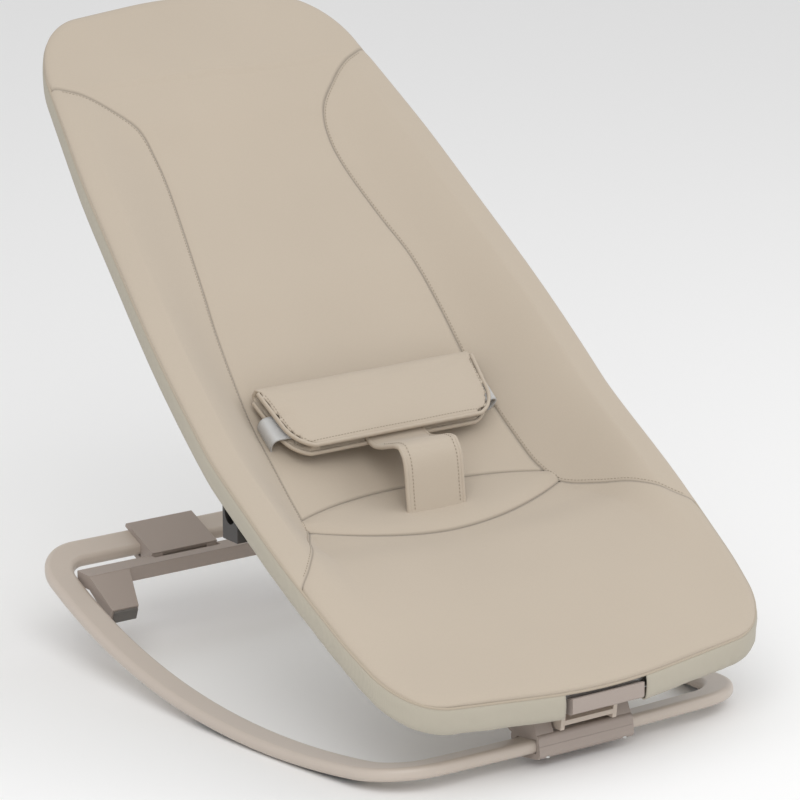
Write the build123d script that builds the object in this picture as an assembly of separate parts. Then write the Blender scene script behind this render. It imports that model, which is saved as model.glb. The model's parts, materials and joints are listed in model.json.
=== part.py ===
from build123d import *
import math
import os

# Baby bouncer seat on a rocking base. Millimetres, +Z up.
# While it is laid out, y = 0 is the front bar's centre line and the foot end looks towards -Y.
# The last step moves everything so that the origin is the bottom centre of the whole seat.

# ---- base loop: one flat oval tube, made as two halves
LOOP_LENGTH = 501.0        # front bar to rear bar, centre lines
LOOP_FRONT_WIDTH = 352.0   # at the front corners, centre lines
LOOP_REAR_WIDTH = 408.0
RAIL_BOW = 18.0            # how far each rail bows outwards
FRONT_BOW = 7.0            # how far the front bar's middle stands forward
FRONT_CORNER = 50.0
REAR_CORNER = 33.0
OVAL_WIDTH = 26.0
OVAL_HEIGHT = 11.5
OVAL_ROUND = 4.8
OVAL_WALL = 1.8
ROCKER_RADIUS = 935.0
ROCKER_LOW_Y = 143.0       # where the rails touch the floor
STRIP_THICK = 1.5
STRIP_WIDTH = 13.0
STRIP_START = 48.0
STRIP_END = 252.0
INSERT_LENGTH = 70.0
FIT = 0.15                 # clearance round a fixed piece

# ---- hub on the front bar
HUB_WALL = 5.0
CHEEK_THICK = 17.5
WASHER_STACK = 2.5         # friction washer and disc spring, between a rib and a cheek
PIVOT_Y = 12.0
PIVOT_Z = 46.0
AXLE_R = 4.0
RUNNING = 0.06             # radial running clearance
CHEEK_R = 12.0

# ---- support arm
RIB_GAP = 50.0
RIB_THICK = 4.0
WEB_THICK = 4.0
ARM_HEIGHT = 24.0
WASHER_R = 11.0
BRACKET_LIP = 8.0          # seat bracket past the ribs

# ---- seat frame
SEAT_WIDTH = 418.0         # over the cover
FRAME_TUBE = 18.0
FRAME_WALL = 1.5
COVER_WALL = 4.0           # cover outside the tube
KNEE_Y = 225.0
KNEE_Z = 224.0
FOOT_ANGLE = 31.3
HEAD_ANGLE = 39.4
FOOT_RUN = 303.0           # knee to foot bar, along the frame
HEAD_RUN = 475.0
FOOT_CORNER = 50.0
HEAD_CORNER = 66.0
FOOT_TAPER = 18.0
HEAD_TAPER = 51.0
FOOT_BOW = 22.0
HEAD_BOW = 18.0
CROSS_TUBE = 16.0
CROSS_Y = 200.0
CROSS_DROP = 82.0

# ---- cover
RIM_WALL = 5.0             # cover above the tube
PAD = 10.0
SHEET = 2.5
SEAM = 0.4                 # gap between panels at a seam
PAN_SHARE = 0.127          # pan's front corners, as a share of the foot stretch below the knee
BAND = 2.5

# ---- harness
PAD_SIDE_GAP = 4.0         # pad's upper corners to the wing seams
PAD_NARROWS = 28.0         # pad's lower edge is this much shorter
PAD_LENGTH = 72.0
PAD_LEAF = 6.0
PAD_BACK_LEAF = 3.0
BUCKLE_ROOM = 0.5          # above and below a buckle in the pad's gap
PAD_Y = 272.0              # middle of the pad's front face
PAD_Z = 247.0
PAD_ANGLE = 37.7
STRAP_WIDTH = 60.0
STRAP_THICK = 5.0
SLOT_Y = 192.0
WEBBING_WIDTH = 25.0
WEBBING_THICK = 1.6
BUCKLE_LENGTH = 34.0
BUCKLE_THICK = 7.0

# ---- kickstand
STAND_PIN_R = 2.5
STAND_BARREL_R = 6.0
STAND_SIDE_GAP = 2.7       # stand's ends to the rails
BOW_AT_STAND = 3.7         # rails stand out this far past the rear width, beside the stand
STAND_BAR = 20.0
LEG_TILT = 20.0
LEG_ROOT = 42.0
LEG_TIP = 27.0
LEG_THICK = 14.0
KNUCKLE_INNER = 46.0       # bracket's inner end, from the middle
KNUCKLE_OUTER = 115.0
KNUCKLE_EAR = 11.0
BRACKET_WALL = 5.0
SCREW_LIP = 0.9             # extra depth behind the rear bar for the bracket's screws
FOOT_PAD = 2.5
PLAY = 0.4                 # gap beside a moving piece

# ---- derived
ROCKER_Z = ROCKER_RADIUS + STRIP_THICK
TUBE_R = FRAME_TUBE / 2
FRAME_HALF = SEAT_WIDTH / 2 - TUBE_R - COVER_WALL
FOOT_COS = math.cos(math.radians(FOOT_ANGLE))
HEAD_COS = math.cos(math.radians(HEAD_ANGLE))
FOOT_Y = KNEE_Y - FOOT_RUN * FOOT_COS
HEAD_Y = KNEE_Y + HEAD_RUN * HEAD_COS
PAN_Y = KNEE_Y - PAN_SHARE * FOOT_RUN * FOOT_COS
RIM = TUBE_R + RIM_WALL
COVER_SCALE = FRAME_HALF / 196.0
HOLLOW_HALF = 118 * COVER_SCALE
RIB_OUT = RIB_GAP / 2 + RIB_THICK
CHEEK_GAP = 2 * (RIB_OUT + WASHER_STACK)
HUB_WIDTH = CHEEK_GAP + 2 * CHEEK_THICK
BRACKET_HALF = RIB_OUT + BRACKET_LIP
PAD_TOP_WIDTH = 2 * (HOLLOW_HALF - PAD_SIDE_GAP)
PAD_LOW_WIDTH = PAD_TOP_WIDTH - PAD_NARROWS
PAD_GAP = BUCKLE_THICK + 2 * BUCKLE_ROOM
STAND_REACH_IN = OVAL_WIDTH / 2 + BRACKET_WALL + STAND_BARREL_R + 1
STAND_WIDTH = LOOP_REAR_WIDTH - OVAL_WIDTH + 2 * (BOW_AT_STAND - STAND_SIDE_GAP)

parts = {}


def rail_low(y):
    """Height of the loop's underside at y."""
    return ROCKER_Z - math.sqrt(ROCKER_RADIUS ** 2 - (y - ROCKER_LOW_Y) ** 2)


def bar_place(y):
    """The loop's local frame where it crosses the middle at y: it leans with the rocker's curve."""
    lean = math.asin((y - ROCKER_LOW_Y) / ROCKER_RADIUS)
    rise = OVAL_HEIGHT / 2
    return Pos(0, y - rise * math.sin(lean), rail_low(y) + rise * math.cos(lean)) * Rot(math.degrees(lean), 0, 0)


def block(x0, x1, y0, y1, z0, z1):
    return Pos((x0 + x1) / 2, (y0 + y1) / 2, (z0 + z1) / 2) * Box(x1 - x0, y1 - y0, z1 - z0)


def bar(x0, x1, y, z, r):
    """Round bar along X."""
    return Pos((x0 + x1) / 2, y, z) * Rot(0, 90, 0) * Cylinder(r, x1 - x0)


def post(x, y, z0, z1, r):
    """Round bar along Z."""
    return Pos(x, y, (z0 + z1) / 2) * Cylinder(r, z1 - z0)


def side_prism(points, x0, x1, radii=None):
    """A side view outline of (y, z) points, carried from x0 to x1."""
    if radii is None:
        outline = Polyline(*points, close=True)
    else:
        outline = FilletPolyline(*points, radius=radii, close=True)
    face = make_face(Plane.YZ * outline)
    return Pos(x0, 0, 0) * extrude(face, amount=x1 - x0, dir=(1, 0, 0))


def both_sides(piece):
    return [piece, mirror(piece, about=Plane.YZ)]


# ------------------------------------------------------------------ base loop
def loop_face(width):
    """Plan of the loop for a tube of this width."""
    a = LOOP_FRONT_WIDTH / 2
    b = LOOP_REAR_WIDTH / 2
    mid = LOOP_LENGTH / 2
    front = ThreePointArc((-a, FRONT_BOW), (0, 0), (a, FRONT_BOW))
    right = ThreePointArc((a, FRONT_BOW), ((a + b) / 2 + RAIL_BOW, mid), (b, LOOP_LENGTH))
    rear = Line((b, LOOP_LENGTH), (-b, LOOP_LENGTH))
    left = ThreePointArc((-b, LOOP_LENGTH), (-(a + b) / 2 - RAIL_BOW, mid), (-a, FRONT_BOW))
    face = make_face([front, right, rear, left])
    corners = face.vertices().sort_by(Axis.Y)
    face = fillet(corners[:2], FRONT_CORNER)
    corners = [v for v in face.vertices() if abs(v.Y - LOOP_LENGTH) < 0.01]
    face = fillet(corners, REAR_CORNER)
    outer = offset(face, amount=width / 2)
    inner = offset(face, amount=-width / 2)
    return outer - inner


def rocker_slab(low, high):
    """The layer between two heights above the loop's underside, rocker shaped."""
    shell = Rot(0, 90, 0) * Cylinder(ROCKER_RADIUS - low, 900)
    shell -= Rot(0, 90, 0) * Cylinder(ROCKER_RADIUS - high, 901)
    return Pos(0, ROCKER_LOW_Y, ROCKER_Z) * shell


def loop_solid(width, low, high, radius=0.0):
    ring = extrude(loop_face(width), amount=200)
    ring = Pos(0, 0, -20) * ring
    solid = ring & rocker_slab(low, high)
    if radius > 0:
        solid = fillet(solid.edges(), radius)
    return solid


def make_base():
    outer = loop_solid(OVAL_WIDTH, 0, OVAL_HEIGHT, OVAL_ROUND)
    bore_width = OVAL_WIDTH - 2 * OVAL_WALL
    bore_high = OVAL_HEIGHT - OVAL_WALL
    bore = loop_solid(bore_width, OVAL_WALL, bore_high, OVAL_ROUND - OVAL_WALL)
    core = loop_solid(bore_width - 2 * FIT, OVAL_WALL + FIT, bore_high - FIT, OVAL_ROUND - OVAL_WALL)
    tube = outer - bore
    far = 600
    left = tube & block(-far, -0.15, -far, 2 * far, -50, 300)
    half = INSERT_LENGTH / 2
    front_core = core & block(-half, half, -60, 60, -50, 300)
    rear_core = core & block(-half, half, LOOP_LENGTH - 60, LOOP_LENGTH + 60, -50, 300)
    # countersunk screws hold the rear insert from below
    place = bar_place(LOOP_LENGTH)
    under = -OVAL_HEIGHT / 2
    screws = []
    for x in (11 - half, half - 11):
        screw = post(x, 0, under + 0.3, under + OVAL_HEIGHT - OVAL_WALL - 1, 1.9)
        screw += post(x, 0, under + 0.3, under + OVAL_WALL, 3.4)
        hole = post(x, 0, under - 2, under + OVAL_HEIGHT - OVAL_WALL - 0.8, 2.0)
        hole += post(x, 0, under - 2, under + OVAL_WALL + 0.1, 3.5)
        left -= place * hole
        rear_core -= place * hole
        screws.append(place * screw)
    parts["base_tube_left"] = left
    parts["base_tube_right"] = mirror(left, about=Plane.YZ)
    parts["front_tube_insert"] = front_core
    parts["rear_tube_insert"] = rear_core
    parts["insert_screws"] = screws
    strip = loop_solid(STRIP_WIDTH, -STRIP_THICK, 0)
    left_strip = strip & block(-far, -60, STRIP_START, STRIP_END, -50, 300)
    parts["rocker_strip_left"] = left_strip
    parts["rocker_strip_right"] = mirror(left_strip, about=Plane.YZ)


def grown_loop():
    return loop_solid(OVAL_WIDTH + 2 * FIT, -FIT, OVAL_HEIGHT + FIT)


# ------------------------------------------------------------------ hub
def make_hub(loop_room):
    place = bar_place(0)
    half = HUB_WIDTH / 2
    side = OVAL_WIDTH / 2 + HUB_WALL
    wall = OVAL_HEIGHT / 2 + HUB_WALL
    lower = block(-half, half, -side, side + 2, -wall, -0.1)
    lower = fillet(lower.edges().filter_by(Axis.X).sort_by(Axis.Z)[:2], 5)
    upper = block(-half, half, -side, side + 2, 0.1, wall - 1)
    upper = fillet(upper.edges().filter_by(Axis.X).sort_by(Axis.Z)[-2:], 4)
    screws = []
    holes = []
    for x in (-half + 9, half - 9):
        for y in (-side + 2.6, side - 1.4):
            screw = post(x, y, -wall + 2, wall - 3.5, 1.3) + post(x, y, -wall + 0.4, -wall + 2, 2.1)
            hole = post(x, y, -wall - 1, wall - 3.4, 1.35) + post(x, y, -wall - 1, -wall + 2.05, 2.2)
            lower -= hole
            holes.append(place * hole)
            screws.append(place * screw)
    lower = place * lower
    upper = place * upper
    inner = CHEEK_GAP / 2
    top = hub_top()
    cheek_top = PIVOT_Z + CHEEK_R
    outline = [(-side + 5, top - 7), (-side + 5, top - 1), (PIVOT_Y - 12, cheek_top), (PIVOT_Y + 24, cheek_top),
               (PIVOT_Y + 42, PIVOT_Z - 2), (side + 20, top), (side + 1, top - 8)]
    cheek = side_prism(outline, inner, half, [0.5, 6, 9, 14, 9, 6, 0.5])
    upper += both_sides(cheek)
    lower -= loop_room
    upper -= loop_room
    upper -= holes
    upper -= bar(-half - 1, half + 1, PIVOT_Y, PIVOT_Z, AXLE_R + RUNNING)
    # pockets for the bolt head and the nut
    upper -= bar(half - 6, half + 1, PIVOT_Y, PIVOT_Z, 8.5)
    upper -= bar(-half - 1, -half + 6, PIVOT_Y, PIVOT_Z, 8.5)
    parts["hub_lower_shell"] = lower
    parts["hub_upper_shell"] = upper
    parts["hub_screws"] = screws
    # axle: one bolt through both cheeks and the arm
    axle = bar(-half + 1.4, half - 5.8, PIVOT_Y, PIVOT_Z, AXLE_R)
    axle += bar(half - 5.8, half - 0.8, PIVOT_Y, PIVOT_Z, 7.5)
    socket = Pos(half - 2.3, PIVOT_Y, PIVOT_Z) * Rot(0, 90, 0) * extrude(RegularPolygon(3, 6), amount=3.5)
    parts["recline_axle"] = axle - socket
    nut = Pos(-half + 5.8, PIVOT_Y, PIVOT_Z) * Rot(0, -90, 0) * extrude(RegularPolygon(7.2, 6), amount=4.6)
    parts["axle_nut"] = nut - bar(-half, -half + 7, PIVOT_Y, PIVOT_Z, AXLE_R + 0.02)
    washers = []
    discs = []
    gap = inner - RIB_OUT
    for side in (-1, 1):
        x0 = RIB_OUT + 0.1
        x1 = x0 + gap * 0.45
        x2 = inner - 0.1
        washer = bar(min(side * x0, side * x1), max(side * x0, side * x1), PIVOT_Y, PIVOT_Z, WASHER_R)
        disc = bar(min(side * (x1 + 0.05), side * x2), max(side * (x1 + 0.05), side * x2), PIVOT_Y, PIVOT_Z,
                   WASHER_R - 2)
        hole = bar(-60, 60, PIVOT_Y, PIVOT_Z, AXLE_R + RUNNING)
        washers.append(washer - hole)
        discs.append(disc - hole)
    parts["friction_washers"] = washers
    parts["disc_springs"] = discs


def hub_top():
    """Highest point of the hub's flat top between the cheeks, near its front."""
    return rail_low(0) + OVAL_HEIGHT + HUB_WALL + 2


# ------------------------------------------------------------------ seat frame
def foot_points():
    """Half of the foot U from knee to middle: x, distance below the knee, bend radius."""
    bar_end = FOOT_RUN - FOOT_BOW
    return [(FRAME_HALF, 0.0, 0), (FRAME_HALF, -0.38 * FOOT_RUN, 700), (FRAME_HALF - 7, -0.71 * FOOT_RUN, 220),
            (FRAME_HALF - FOOT_TAPER, -bar_end, FOOT_CORNER), (0.0, -FOOT_RUN, 600)]


def head_points():
    bar_end = HEAD_RUN - HEAD_BOW
    return [(FRAME_HALF, 0.0, 0), (FRAME_HALF - 3, 0.22 * HEAD_RUN, 900), (FRAME_HALF - 24, 0.63 * HEAD_RUN, 500),
            (FRAME_HALF - HEAD_TAPER, bar_end, HEAD_CORNER), (0.0, HEAD_RUN, 500)]


def u_path(half):
    """Whole U from one half's points."""
    right = [(x, s) for x, s, r in half]
    left = [(-x, s) for x, s, r in reversed(half[:-1])]
    radii = [r for x, s, r in half[1:]]
    radii += [r for x, s, r in reversed(half[1:-1])]
    return FilletPolyline(*(right + left), radius=radii)


def frame_plane(angle):
    a = math.radians(angle)
    return Plane(origin=(0, KNEE_Y, KNEE_Z), x_dir=(1, 0, 0), z_dir=(0, -math.sin(a), math.cos(a)))


def swept_tube(path, radius, wall):
    start = Plane(origin=path @ 0, z_dir=path % 0)
    outer = sweep(start * Circle(radius), path=path)
    inner = sweep(start * Circle(radius - wall), path=path)
    return outer - inner


def edge_z(y):
    """Height of the frame tube's centre line at y."""
    angle = HEAD_ANGLE if y > KNEE_Y else FOOT_ANGLE
    return KNEE_Z + (y - KNEE_Y) * math.tan(math.radians(angle))


def normal_lift(y, n):
    """Upright distance for a distance n square to the frame."""
    angle = HEAD_ANGLE if y >= KNEE_Y else FOOT_ANGLE
    return n / math.cos(math.radians(angle))


def half_at(y):
    """Half width of the frame tube's centre line at y."""
    foot = [(KNEE_Y + s * FOOT_COS, x) for x, s, r in foot_points()[:-1]]
    head = [(KNEE_Y + s * HEAD_COS, x) for x, s, r in head_points()[:-1]]
    line = sorted(foot + head[1:])
    if y <= line[0][0]:
        return line[0][1]
    for (ya, xa), (yb, xb) in zip(line, line[1:]):
        if y <= yb:
            return xa + (xb - xa) * (y - ya) / (yb - ya)
    return line[-1][1]


def make_frame():
    gap = 1.2
    foot = u_path([(x, s - gap if s == 0 else s, r) for x, s, r in foot_points()])
    head = u_path([(x, s + gap if s == 0 else s, r) for x, s, r in head_points()])
    foot_plane = frame_plane(FOOT_ANGLE)
    head_plane = frame_plane(HEAD_ANGLE)
    foot_tube = swept_tube(foot_plane * foot, TUBE_R, FRAME_WALL)
    head_tube = swept_tube(head_plane * head, TUBE_R, FRAME_WALL)
    plug_r = TUBE_R - FRAME_WALL - 0.1
    reach = 32.0
    down = -foot_plane.y_dir
    # the head tube's legs lean inwards a little at the knee
    lean_x = head_points()[1][0] - FRAME_HALF
    lean = Vector(lean_x, head_points()[1][1], 0)
    up_local = lean.normalized()
    up = (head_plane.x_dir * up_local.X + head_plane.y_dir * up_local.Y).normalized()
    knee = Vector(FRAME_HALF, KNEE_Y, KNEE_Z)
    plug = Pos(*knee) * Sphere(plug_r)
    plug += Plane(origin=knee, z_dir=down) * Pos(0, 0, reach / 2) * Cylinder(plug_r, reach)
    plug += Plane(origin=knee, z_dir=up) * Pos(0, 0, reach / 2) * Cylinder(plug_r, reach)
    rivets = []
    right_holes = None
    for direction in (down, up):
        centre = knee + direction * (reach * 0.62)
        rivet = bar(centre.X - TUBE_R - 0.6, centre.X + TUBE_R + 0.6, centre.Y, centre.Z, 1.8)
        hole = bar(centre.X - 20, centre.X + 20, centre.Y, centre.Z, 1.85)
        rivets += both_sides(rivet)
        right_holes = hole if right_holes is None else right_holes + hole
    holes = both_sides(right_holes)
    foot_tube -= holes
    head_tube -= holes
    plug -= right_holes
    parts["frame_foot_tube"] = foot_tube
    parts["frame_head_tube"] = head_tube
    parts["frame_plug_right"] = plug
    parts["frame_plug_left"] = mirror(plug, about=Plane.YZ)
    parts["frame_rivets"] = rivets


def make_cross_tube():
    """Dropped cross tube that the arm carries, and the saddles that hang it from the side tubes."""
    high = edge_z(CROSS_Y) - TUBE_R - CROSS_TUBE / 2 - 8
    low = edge_z(CROSS_Y) - CROSS_DROP
    r = CROSS_TUBE / 2
    end = FRAME_HALF - 4
    path = FilletPolyline((-end, high), (-FRAME_HALF + 56, low), (FRAME_HALF - 56, low), (end, high), radius=34)
    path = Pos(0, CROSS_Y, 0) * (Plane.XZ * path)
    tube = swept_tube(path, r, FRAME_WALL)
    side = Plane(origin=(half_at(CROSS_Y), CROSS_Y, edge_z(CROSS_Y)), x_dir=(1, 0, 0),
                 z_dir=frame_plane(FOOT_ANGLE).y_dir)
    saddle = block(FRAME_HALF - 13, FRAME_HALF + 9, CROSS_Y - 11, CROSS_Y + 11, high - 12, edge_z(CROSS_Y) - 1)
    saddle -= side * Cylinder(TUBE_R + FIT, 80)
    solid_end = Plane(origin=path @ 1, z_dir=path % 1) * Cylinder(r + FIT, 60)
    saddle -= solid_end
    saddle = saddle.solids().sort_by(SortBy.VOLUME)[-1]
    saddles = both_sides(saddle)
    parts["cross_tube"] = tube
    parts["cross_saddle_right"] = saddles[0]
    parts["cross_saddle_left"] = saddles[1]
    return low, r


def make_arm(cross_low, cross_r):
    """H-section arm: two ribs, a web between them and a pivot tube."""
    back = CROSS_Y + 12
    seat = cross_low
    top_back = seat
    low_back = seat - ARM_HEIGHT
    bracket_low = bracket_bottom()
    front = FOOT_Y + 12
    outline = [(front, bracket_low), (front + 3, hub_top() + 1), (PIVOT_Y - 6, hub_top() + 1), (PIVOT_Y, PIVOT_Z - 13),
               (PIVOT_Y + 34, PIVOT_Z - 10), (back, low_back), (back, top_back), (CROSS_Y - 14, top_back),
               (PIVOT_Y + 30, PIVOT_Z + 24), (PIVOT_Y - 19, bracket_low)]
    rib = side_prism(outline, RIB_GAP / 2, RIB_OUT)
    arm = both_sides(rib)[0] + both_sides(rib)[1]
    slope = (seat - ARM_HEIGHT / 2 - PIVOT_Z) / (back - PIVOT_Y)
    w = WEB_THICK / 2
    web = [(front + 2, PIVOT_Z - 8 - w), (front + 2, PIVOT_Z - 8 + w), (PIVOT_Y, PIVOT_Z + w),
           (back - 2, PIVOT_Z + w + slope * (back - 2 - PIVOT_Y)), (back - 2, PIVOT_Z - w + slope * (back - 2 - PIVOT_Y)),
           (PIVOT_Y, PIVOT_Z - w)]
    arm += side_prism(web, -RIB_GAP / 2 - 1, RIB_GAP / 2 + 1)
    arm += bar(-RIB_GAP / 2 - 1, RIB_GAP / 2 + 1, PIVOT_Y, PIVOT_Z, 9)
    arm -= bar(-60, 60, PIVOT_Y, PIVOT_Z, 6.0)
    arm -= bar(-60, 60, CROSS_Y, cross_low, cross_r + FIT)
    # plain bushes in the pivot tube
    bushes = []
    for side in (-1, 1):
        x0 = side * (RIB_OUT - 0.1)
        x1 = side * (RIB_OUT - 14)
        bush = bar(min(x0, x1), max(x0, x1), PIVOT_Y, PIVOT_Z, 6.0 - 0.02)
        bushes.append(bush - bar(-60, 60, PIVOT_Y, PIVOT_Z, AXLE_R + RUNNING))
    # clamp over the cross tube
    y0 = CROSS_Y - 12
    y1 = CROSS_Y + 12
    clamp = block(-RIB_OUT, RIB_OUT, y0, y1, cross_low + 0.2, cross_low + cross_r + 3)
    clamp = fillet(clamp.edges().filter_by(Axis.X).sort_by(Axis.Z)[-2:], 5)
    clamp -= bar(-60, 60, CROSS_Y, cross_low, cross_r + FIT)
    screws = []
    for side in (-1, 1):
        x = side * (RIB_GAP / 2 + RIB_THICK / 2)
        for y in (y0 + 1.7, y1 - 1.7):
            screw = post(x, y, cross_low - 9, cross_low + 2.2, 0.9) + post(x, y, cross_low + 2.2, cross_low + 3.2, 1.5)
            hole = post(x, y, cross_low - 9.2, cross_low + 2.3, 0.95) + post(x, y, cross_low + 2.2, cross_low + 20, 1.6)
            arm -= hole
            clamp -= hole
            screws.append(screw)
    parts["support_arm"] = arm
    parts["arm_bushes"] = bushes
    parts["cross_clamp"] = clamp
    parts["clamp_screws"] = screws


def bracket_bottom():
    return edge_z(FOOT_Y) - TUBE_R - 4


def make_bracket():
    """Two half shells that grip the foot bar's middle, on the arm's ribs."""
    zc = edge_z(FOOT_Y)
    y0 = FOOT_Y - TUBE_R - 2.6
    y1 = PIVOT_Y - 20
    half = BRACKET_HALF
    room = side_bar_room()
    lip = FOOT_Y - TUBE_R - 0.3
    lower = side_prism([(lip, zc - 0.1), (lip, zc + 1.4), (y0, zc + 1.4), (y0, bracket_bottom() + 2),
                        (y0 + 3, bracket_bottom()), (y1, bracket_bottom()), (y1, zc - 0.1)], -half, half)
    crown = zc + TUBE_R + 1.8
    upper = side_prism([(FOOT_Y, zc + 0.1), (FOOT_Y, crown), (y1, crown), (y1, zc + 0.1)], -half, half)
    lower -= room
    upper -= room
    screws = []
    for x in (-RIB_OUT - 1, RIB_OUT + 1):
        y = y1 - 6
        screw = post(x, y, bracket_bottom() + 2, zc + TUBE_R - 2, 2) + post(x, y, bracket_bottom() + 0.3,
                                                                          bracket_bottom() + 2, 3.6)
        hole = post(x, y, bracket_bottom() - 1, zc + TUBE_R - 1.9, 2.05) + post(x, y, bracket_bottom() - 1,
                                                                               bracket_bottom() + 2.05, 3.7)
        lower -= hole
        upper -= hole
        screws.append(screw)
    parts["seat_bracket_lower"] = lower
    parts["seat_bracket_upper"] = upper.solids().sort_by(SortBy.VOLUME)[-1]
    parts["bracket_screws"] = screws


def side_bar_room():
    """The foot bar, a little fat, for cutting its seat."""
    path = frame_plane(FOOT_ANGLE) * u_path(foot_points())
    start = Plane(origin=path @ 0, z_dir=path % 0)
    tube = sweep(start * Circle(TUBE_R + FIT), path=path)
    return tube & block(-2 * BRACKET_HALF, 2 * BRACKET_HALF, FOOT_Y - 60, FOOT_Y + 80, 0, 200)


# ------------------------------------------------------------------ cover
def cover_stations():
    """Across the seat at a few places: y, seam half width, sink at the seam, sink at the middle."""
    foot = FOOT_RUN * FOOT_COS
    head = HEAD_RUN * HEAD_COS
    low = [(-1.10, 150, 0, 0), (-0.84, 150, 0, 0), (-0.64, 150, 2, 5), (-0.41, 148, 16, 24), (-0.25, 142, 38, 46),
           (-PAN_SHARE, 132, 52, 57), (0.0, 122, 60, 71)]
    high = [(0.11, 118, 64, 81), (0.21, 116, 64, 78), (0.335, 115, 48, 62), (0.43, 111, 36, 47),
            (0.53, 102, 34, 41), (0.64, 93, 30, 33), (0.715, 92, 23, 24), (0.765, 103, 10, 13),
            (0.83, 126, 2, 4), (0.86, 128, 0, 0), (1.12, 120, 0, 0)]
    lines = [(KNEE_Y + f * foot, x, a, b) for f, x, a, b in low]
    lines += [(KNEE_Y + f * head, x, a, b) for f, x, a, b in high]
    return [(y, x * COVER_SCALE, a, b) for y, x, a, b in lines]


def section(y, heights, thicks, knots):
    """A closed line across the seat: heights on top, then the same line lowered."""
    top = [(x, y, z) for x, z in zip(knots, heights)]
    low = [(x, y, z - t) for x, z, t in zip(knots, heights, thicks)]
    return Polyline(*(top + low[::-1]), close=True)


def top_slab():
    faces = []
    for y, seam, sink, deep in cover_stations():
        flat = max(half_at(y) - TUBE_R - 3, seam + 5)
        rim = edge_z(y) + normal_lift(y, RIM)
        thin = normal_lift(y, RIM - TUBE_R - 0.6)
        side = SEAT_WIDTH / 2 + 30
        heights = [rim, rim, rim - sink, rim - deep, rim - sink, rim, rim]
        swell = min(1.0, sink / 20.0)
        mid = thin + (PAD - 4) * swell
        thicks = [thin, thin, mid, mid, mid, thin, thin]
        knots = [-side, -flat, -seam, 0, seam, flat, side]
        faces.append(make_face(section(y, heights, thicks, knots)))
    return loft(faces, ruled=True)


def back_slab():
    faces = []
    for y, seam, sink, deep in cover_stations():
        flat = max(half_at(y) - TUBE_R - 3, seam + 5)
        rim = edge_z(y) + normal_lift(y, RIM)
        low = edge_z(y) - normal_lift(y, TUBE_R + 1)
        swell = min(1.0, sink / 20.0)
        mid = normal_lift(y, RIM - TUBE_R - 0.6) + (PAD - 4) * swell + 1.0
        side = SEAT_WIDTH / 2 + 30
        at_seam = min(low, rim - sink - mid)
        at_mid = min(low, rim - deep - mid)
        heights = [low, low, at_seam, at_mid, at_seam, low, low]
        knots = [-side, -flat, -seam, 0, seam, flat, side]
        faces.append(make_face(section(y, heights, [normal_lift(y, SHEET)] * 7, knots)))
    return loft(faces, ruled=True)


def outline_face(grow):
    """Plan of the seat's edge, this much outside the tube's centre line."""
    foot = [(x, KNEE_Y + s * FOOT_COS, r) for x, s, r in foot_points()]
    head = [(x, KNEE_Y + s * HEAD_COS, r) for x, s, r in head_points()]
    half = foot[::-1] + head[1:]
    right = [(x, y) for x, y, r in half]
    left = [(-x, y) for x, y, r in half[::-1][1:-1]]
    radii = [600, 0.9 * FOOT_CORNER, 220, 700, 1200, 900, 500, 0.84 * HEAD_CORNER, 500]
    radii += radii[::-1][1:-1]
    outline = FilletPolyline(*(right + left), radius=radii, close=True)
    return offset(make_face(outline), amount=grow)


def plan_prism(face):
    return Pos(0, 0, -50) * extrude(face, amount=800)


def frame_layer(low, high):
    """Everything between two distances square to the frame, bent where the cover bends."""
    places = (FOOT_Y - 90, PAN_Y, KNEE_Y, HEAD_Y + 90)
    under = [(y, edge_z(y) + normal_lift(y, low)) for y in places]
    over = [(y, edge_z(y) + normal_lift(y, high)) for y in places]
    return side_prism(under + over[::-1], -SEAT_WIDTH, SEAT_WIDTH)


def wing_face():
    """Plan of the right wing: its curved seam, then round the outside."""
    foot = FOOT_RUN * FOOT_COS
    head = HEAD_RUN * HEAD_COS
    low = [(-0.355, 192), (-0.26, 160), (-0.205, 145), (-PAN_SHARE, 132), (0.0, 122)]
    high = [(0.11, 118), (0.21, 116), (0.335, 115), (0.43, 111), (0.53, 102), (0.64, 93), (0.715, 92),
            (0.765, 103), (0.83, 132), (0.895, 157)]
    seam = [(x * COVER_SCALE, KNEE_Y + f * foot) for f, x in low]
    seam += [(x * COVER_SCALE, KNEE_Y + f * head) for f, x in high]
    first = (SEAT_WIDTH, seam[0][1])
    last = (SEAT_WIDTH, seam[-1][1])
    return make_face(Polyline(*(seam + [last, first]), close=True))


def pan_face():
    """Plan of the half-moon seat pan insert."""
    end = 132 * COVER_SCALE
    front = ThreePointArc((-end, PAN_Y), (0, PAN_Y - 17), (end, PAN_Y))
    right = Line((end, PAN_Y), (end - 5, PAN_Y + 17))
    back = ThreePointArc((end - 5, PAN_Y + 17), (0, PAN_Y + 42), (-end + 5, PAN_Y + 17))
    left = Line((-end + 5, PAN_Y + 17), (-end, PAN_Y))
    return make_face([front, right, back, left])


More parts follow.
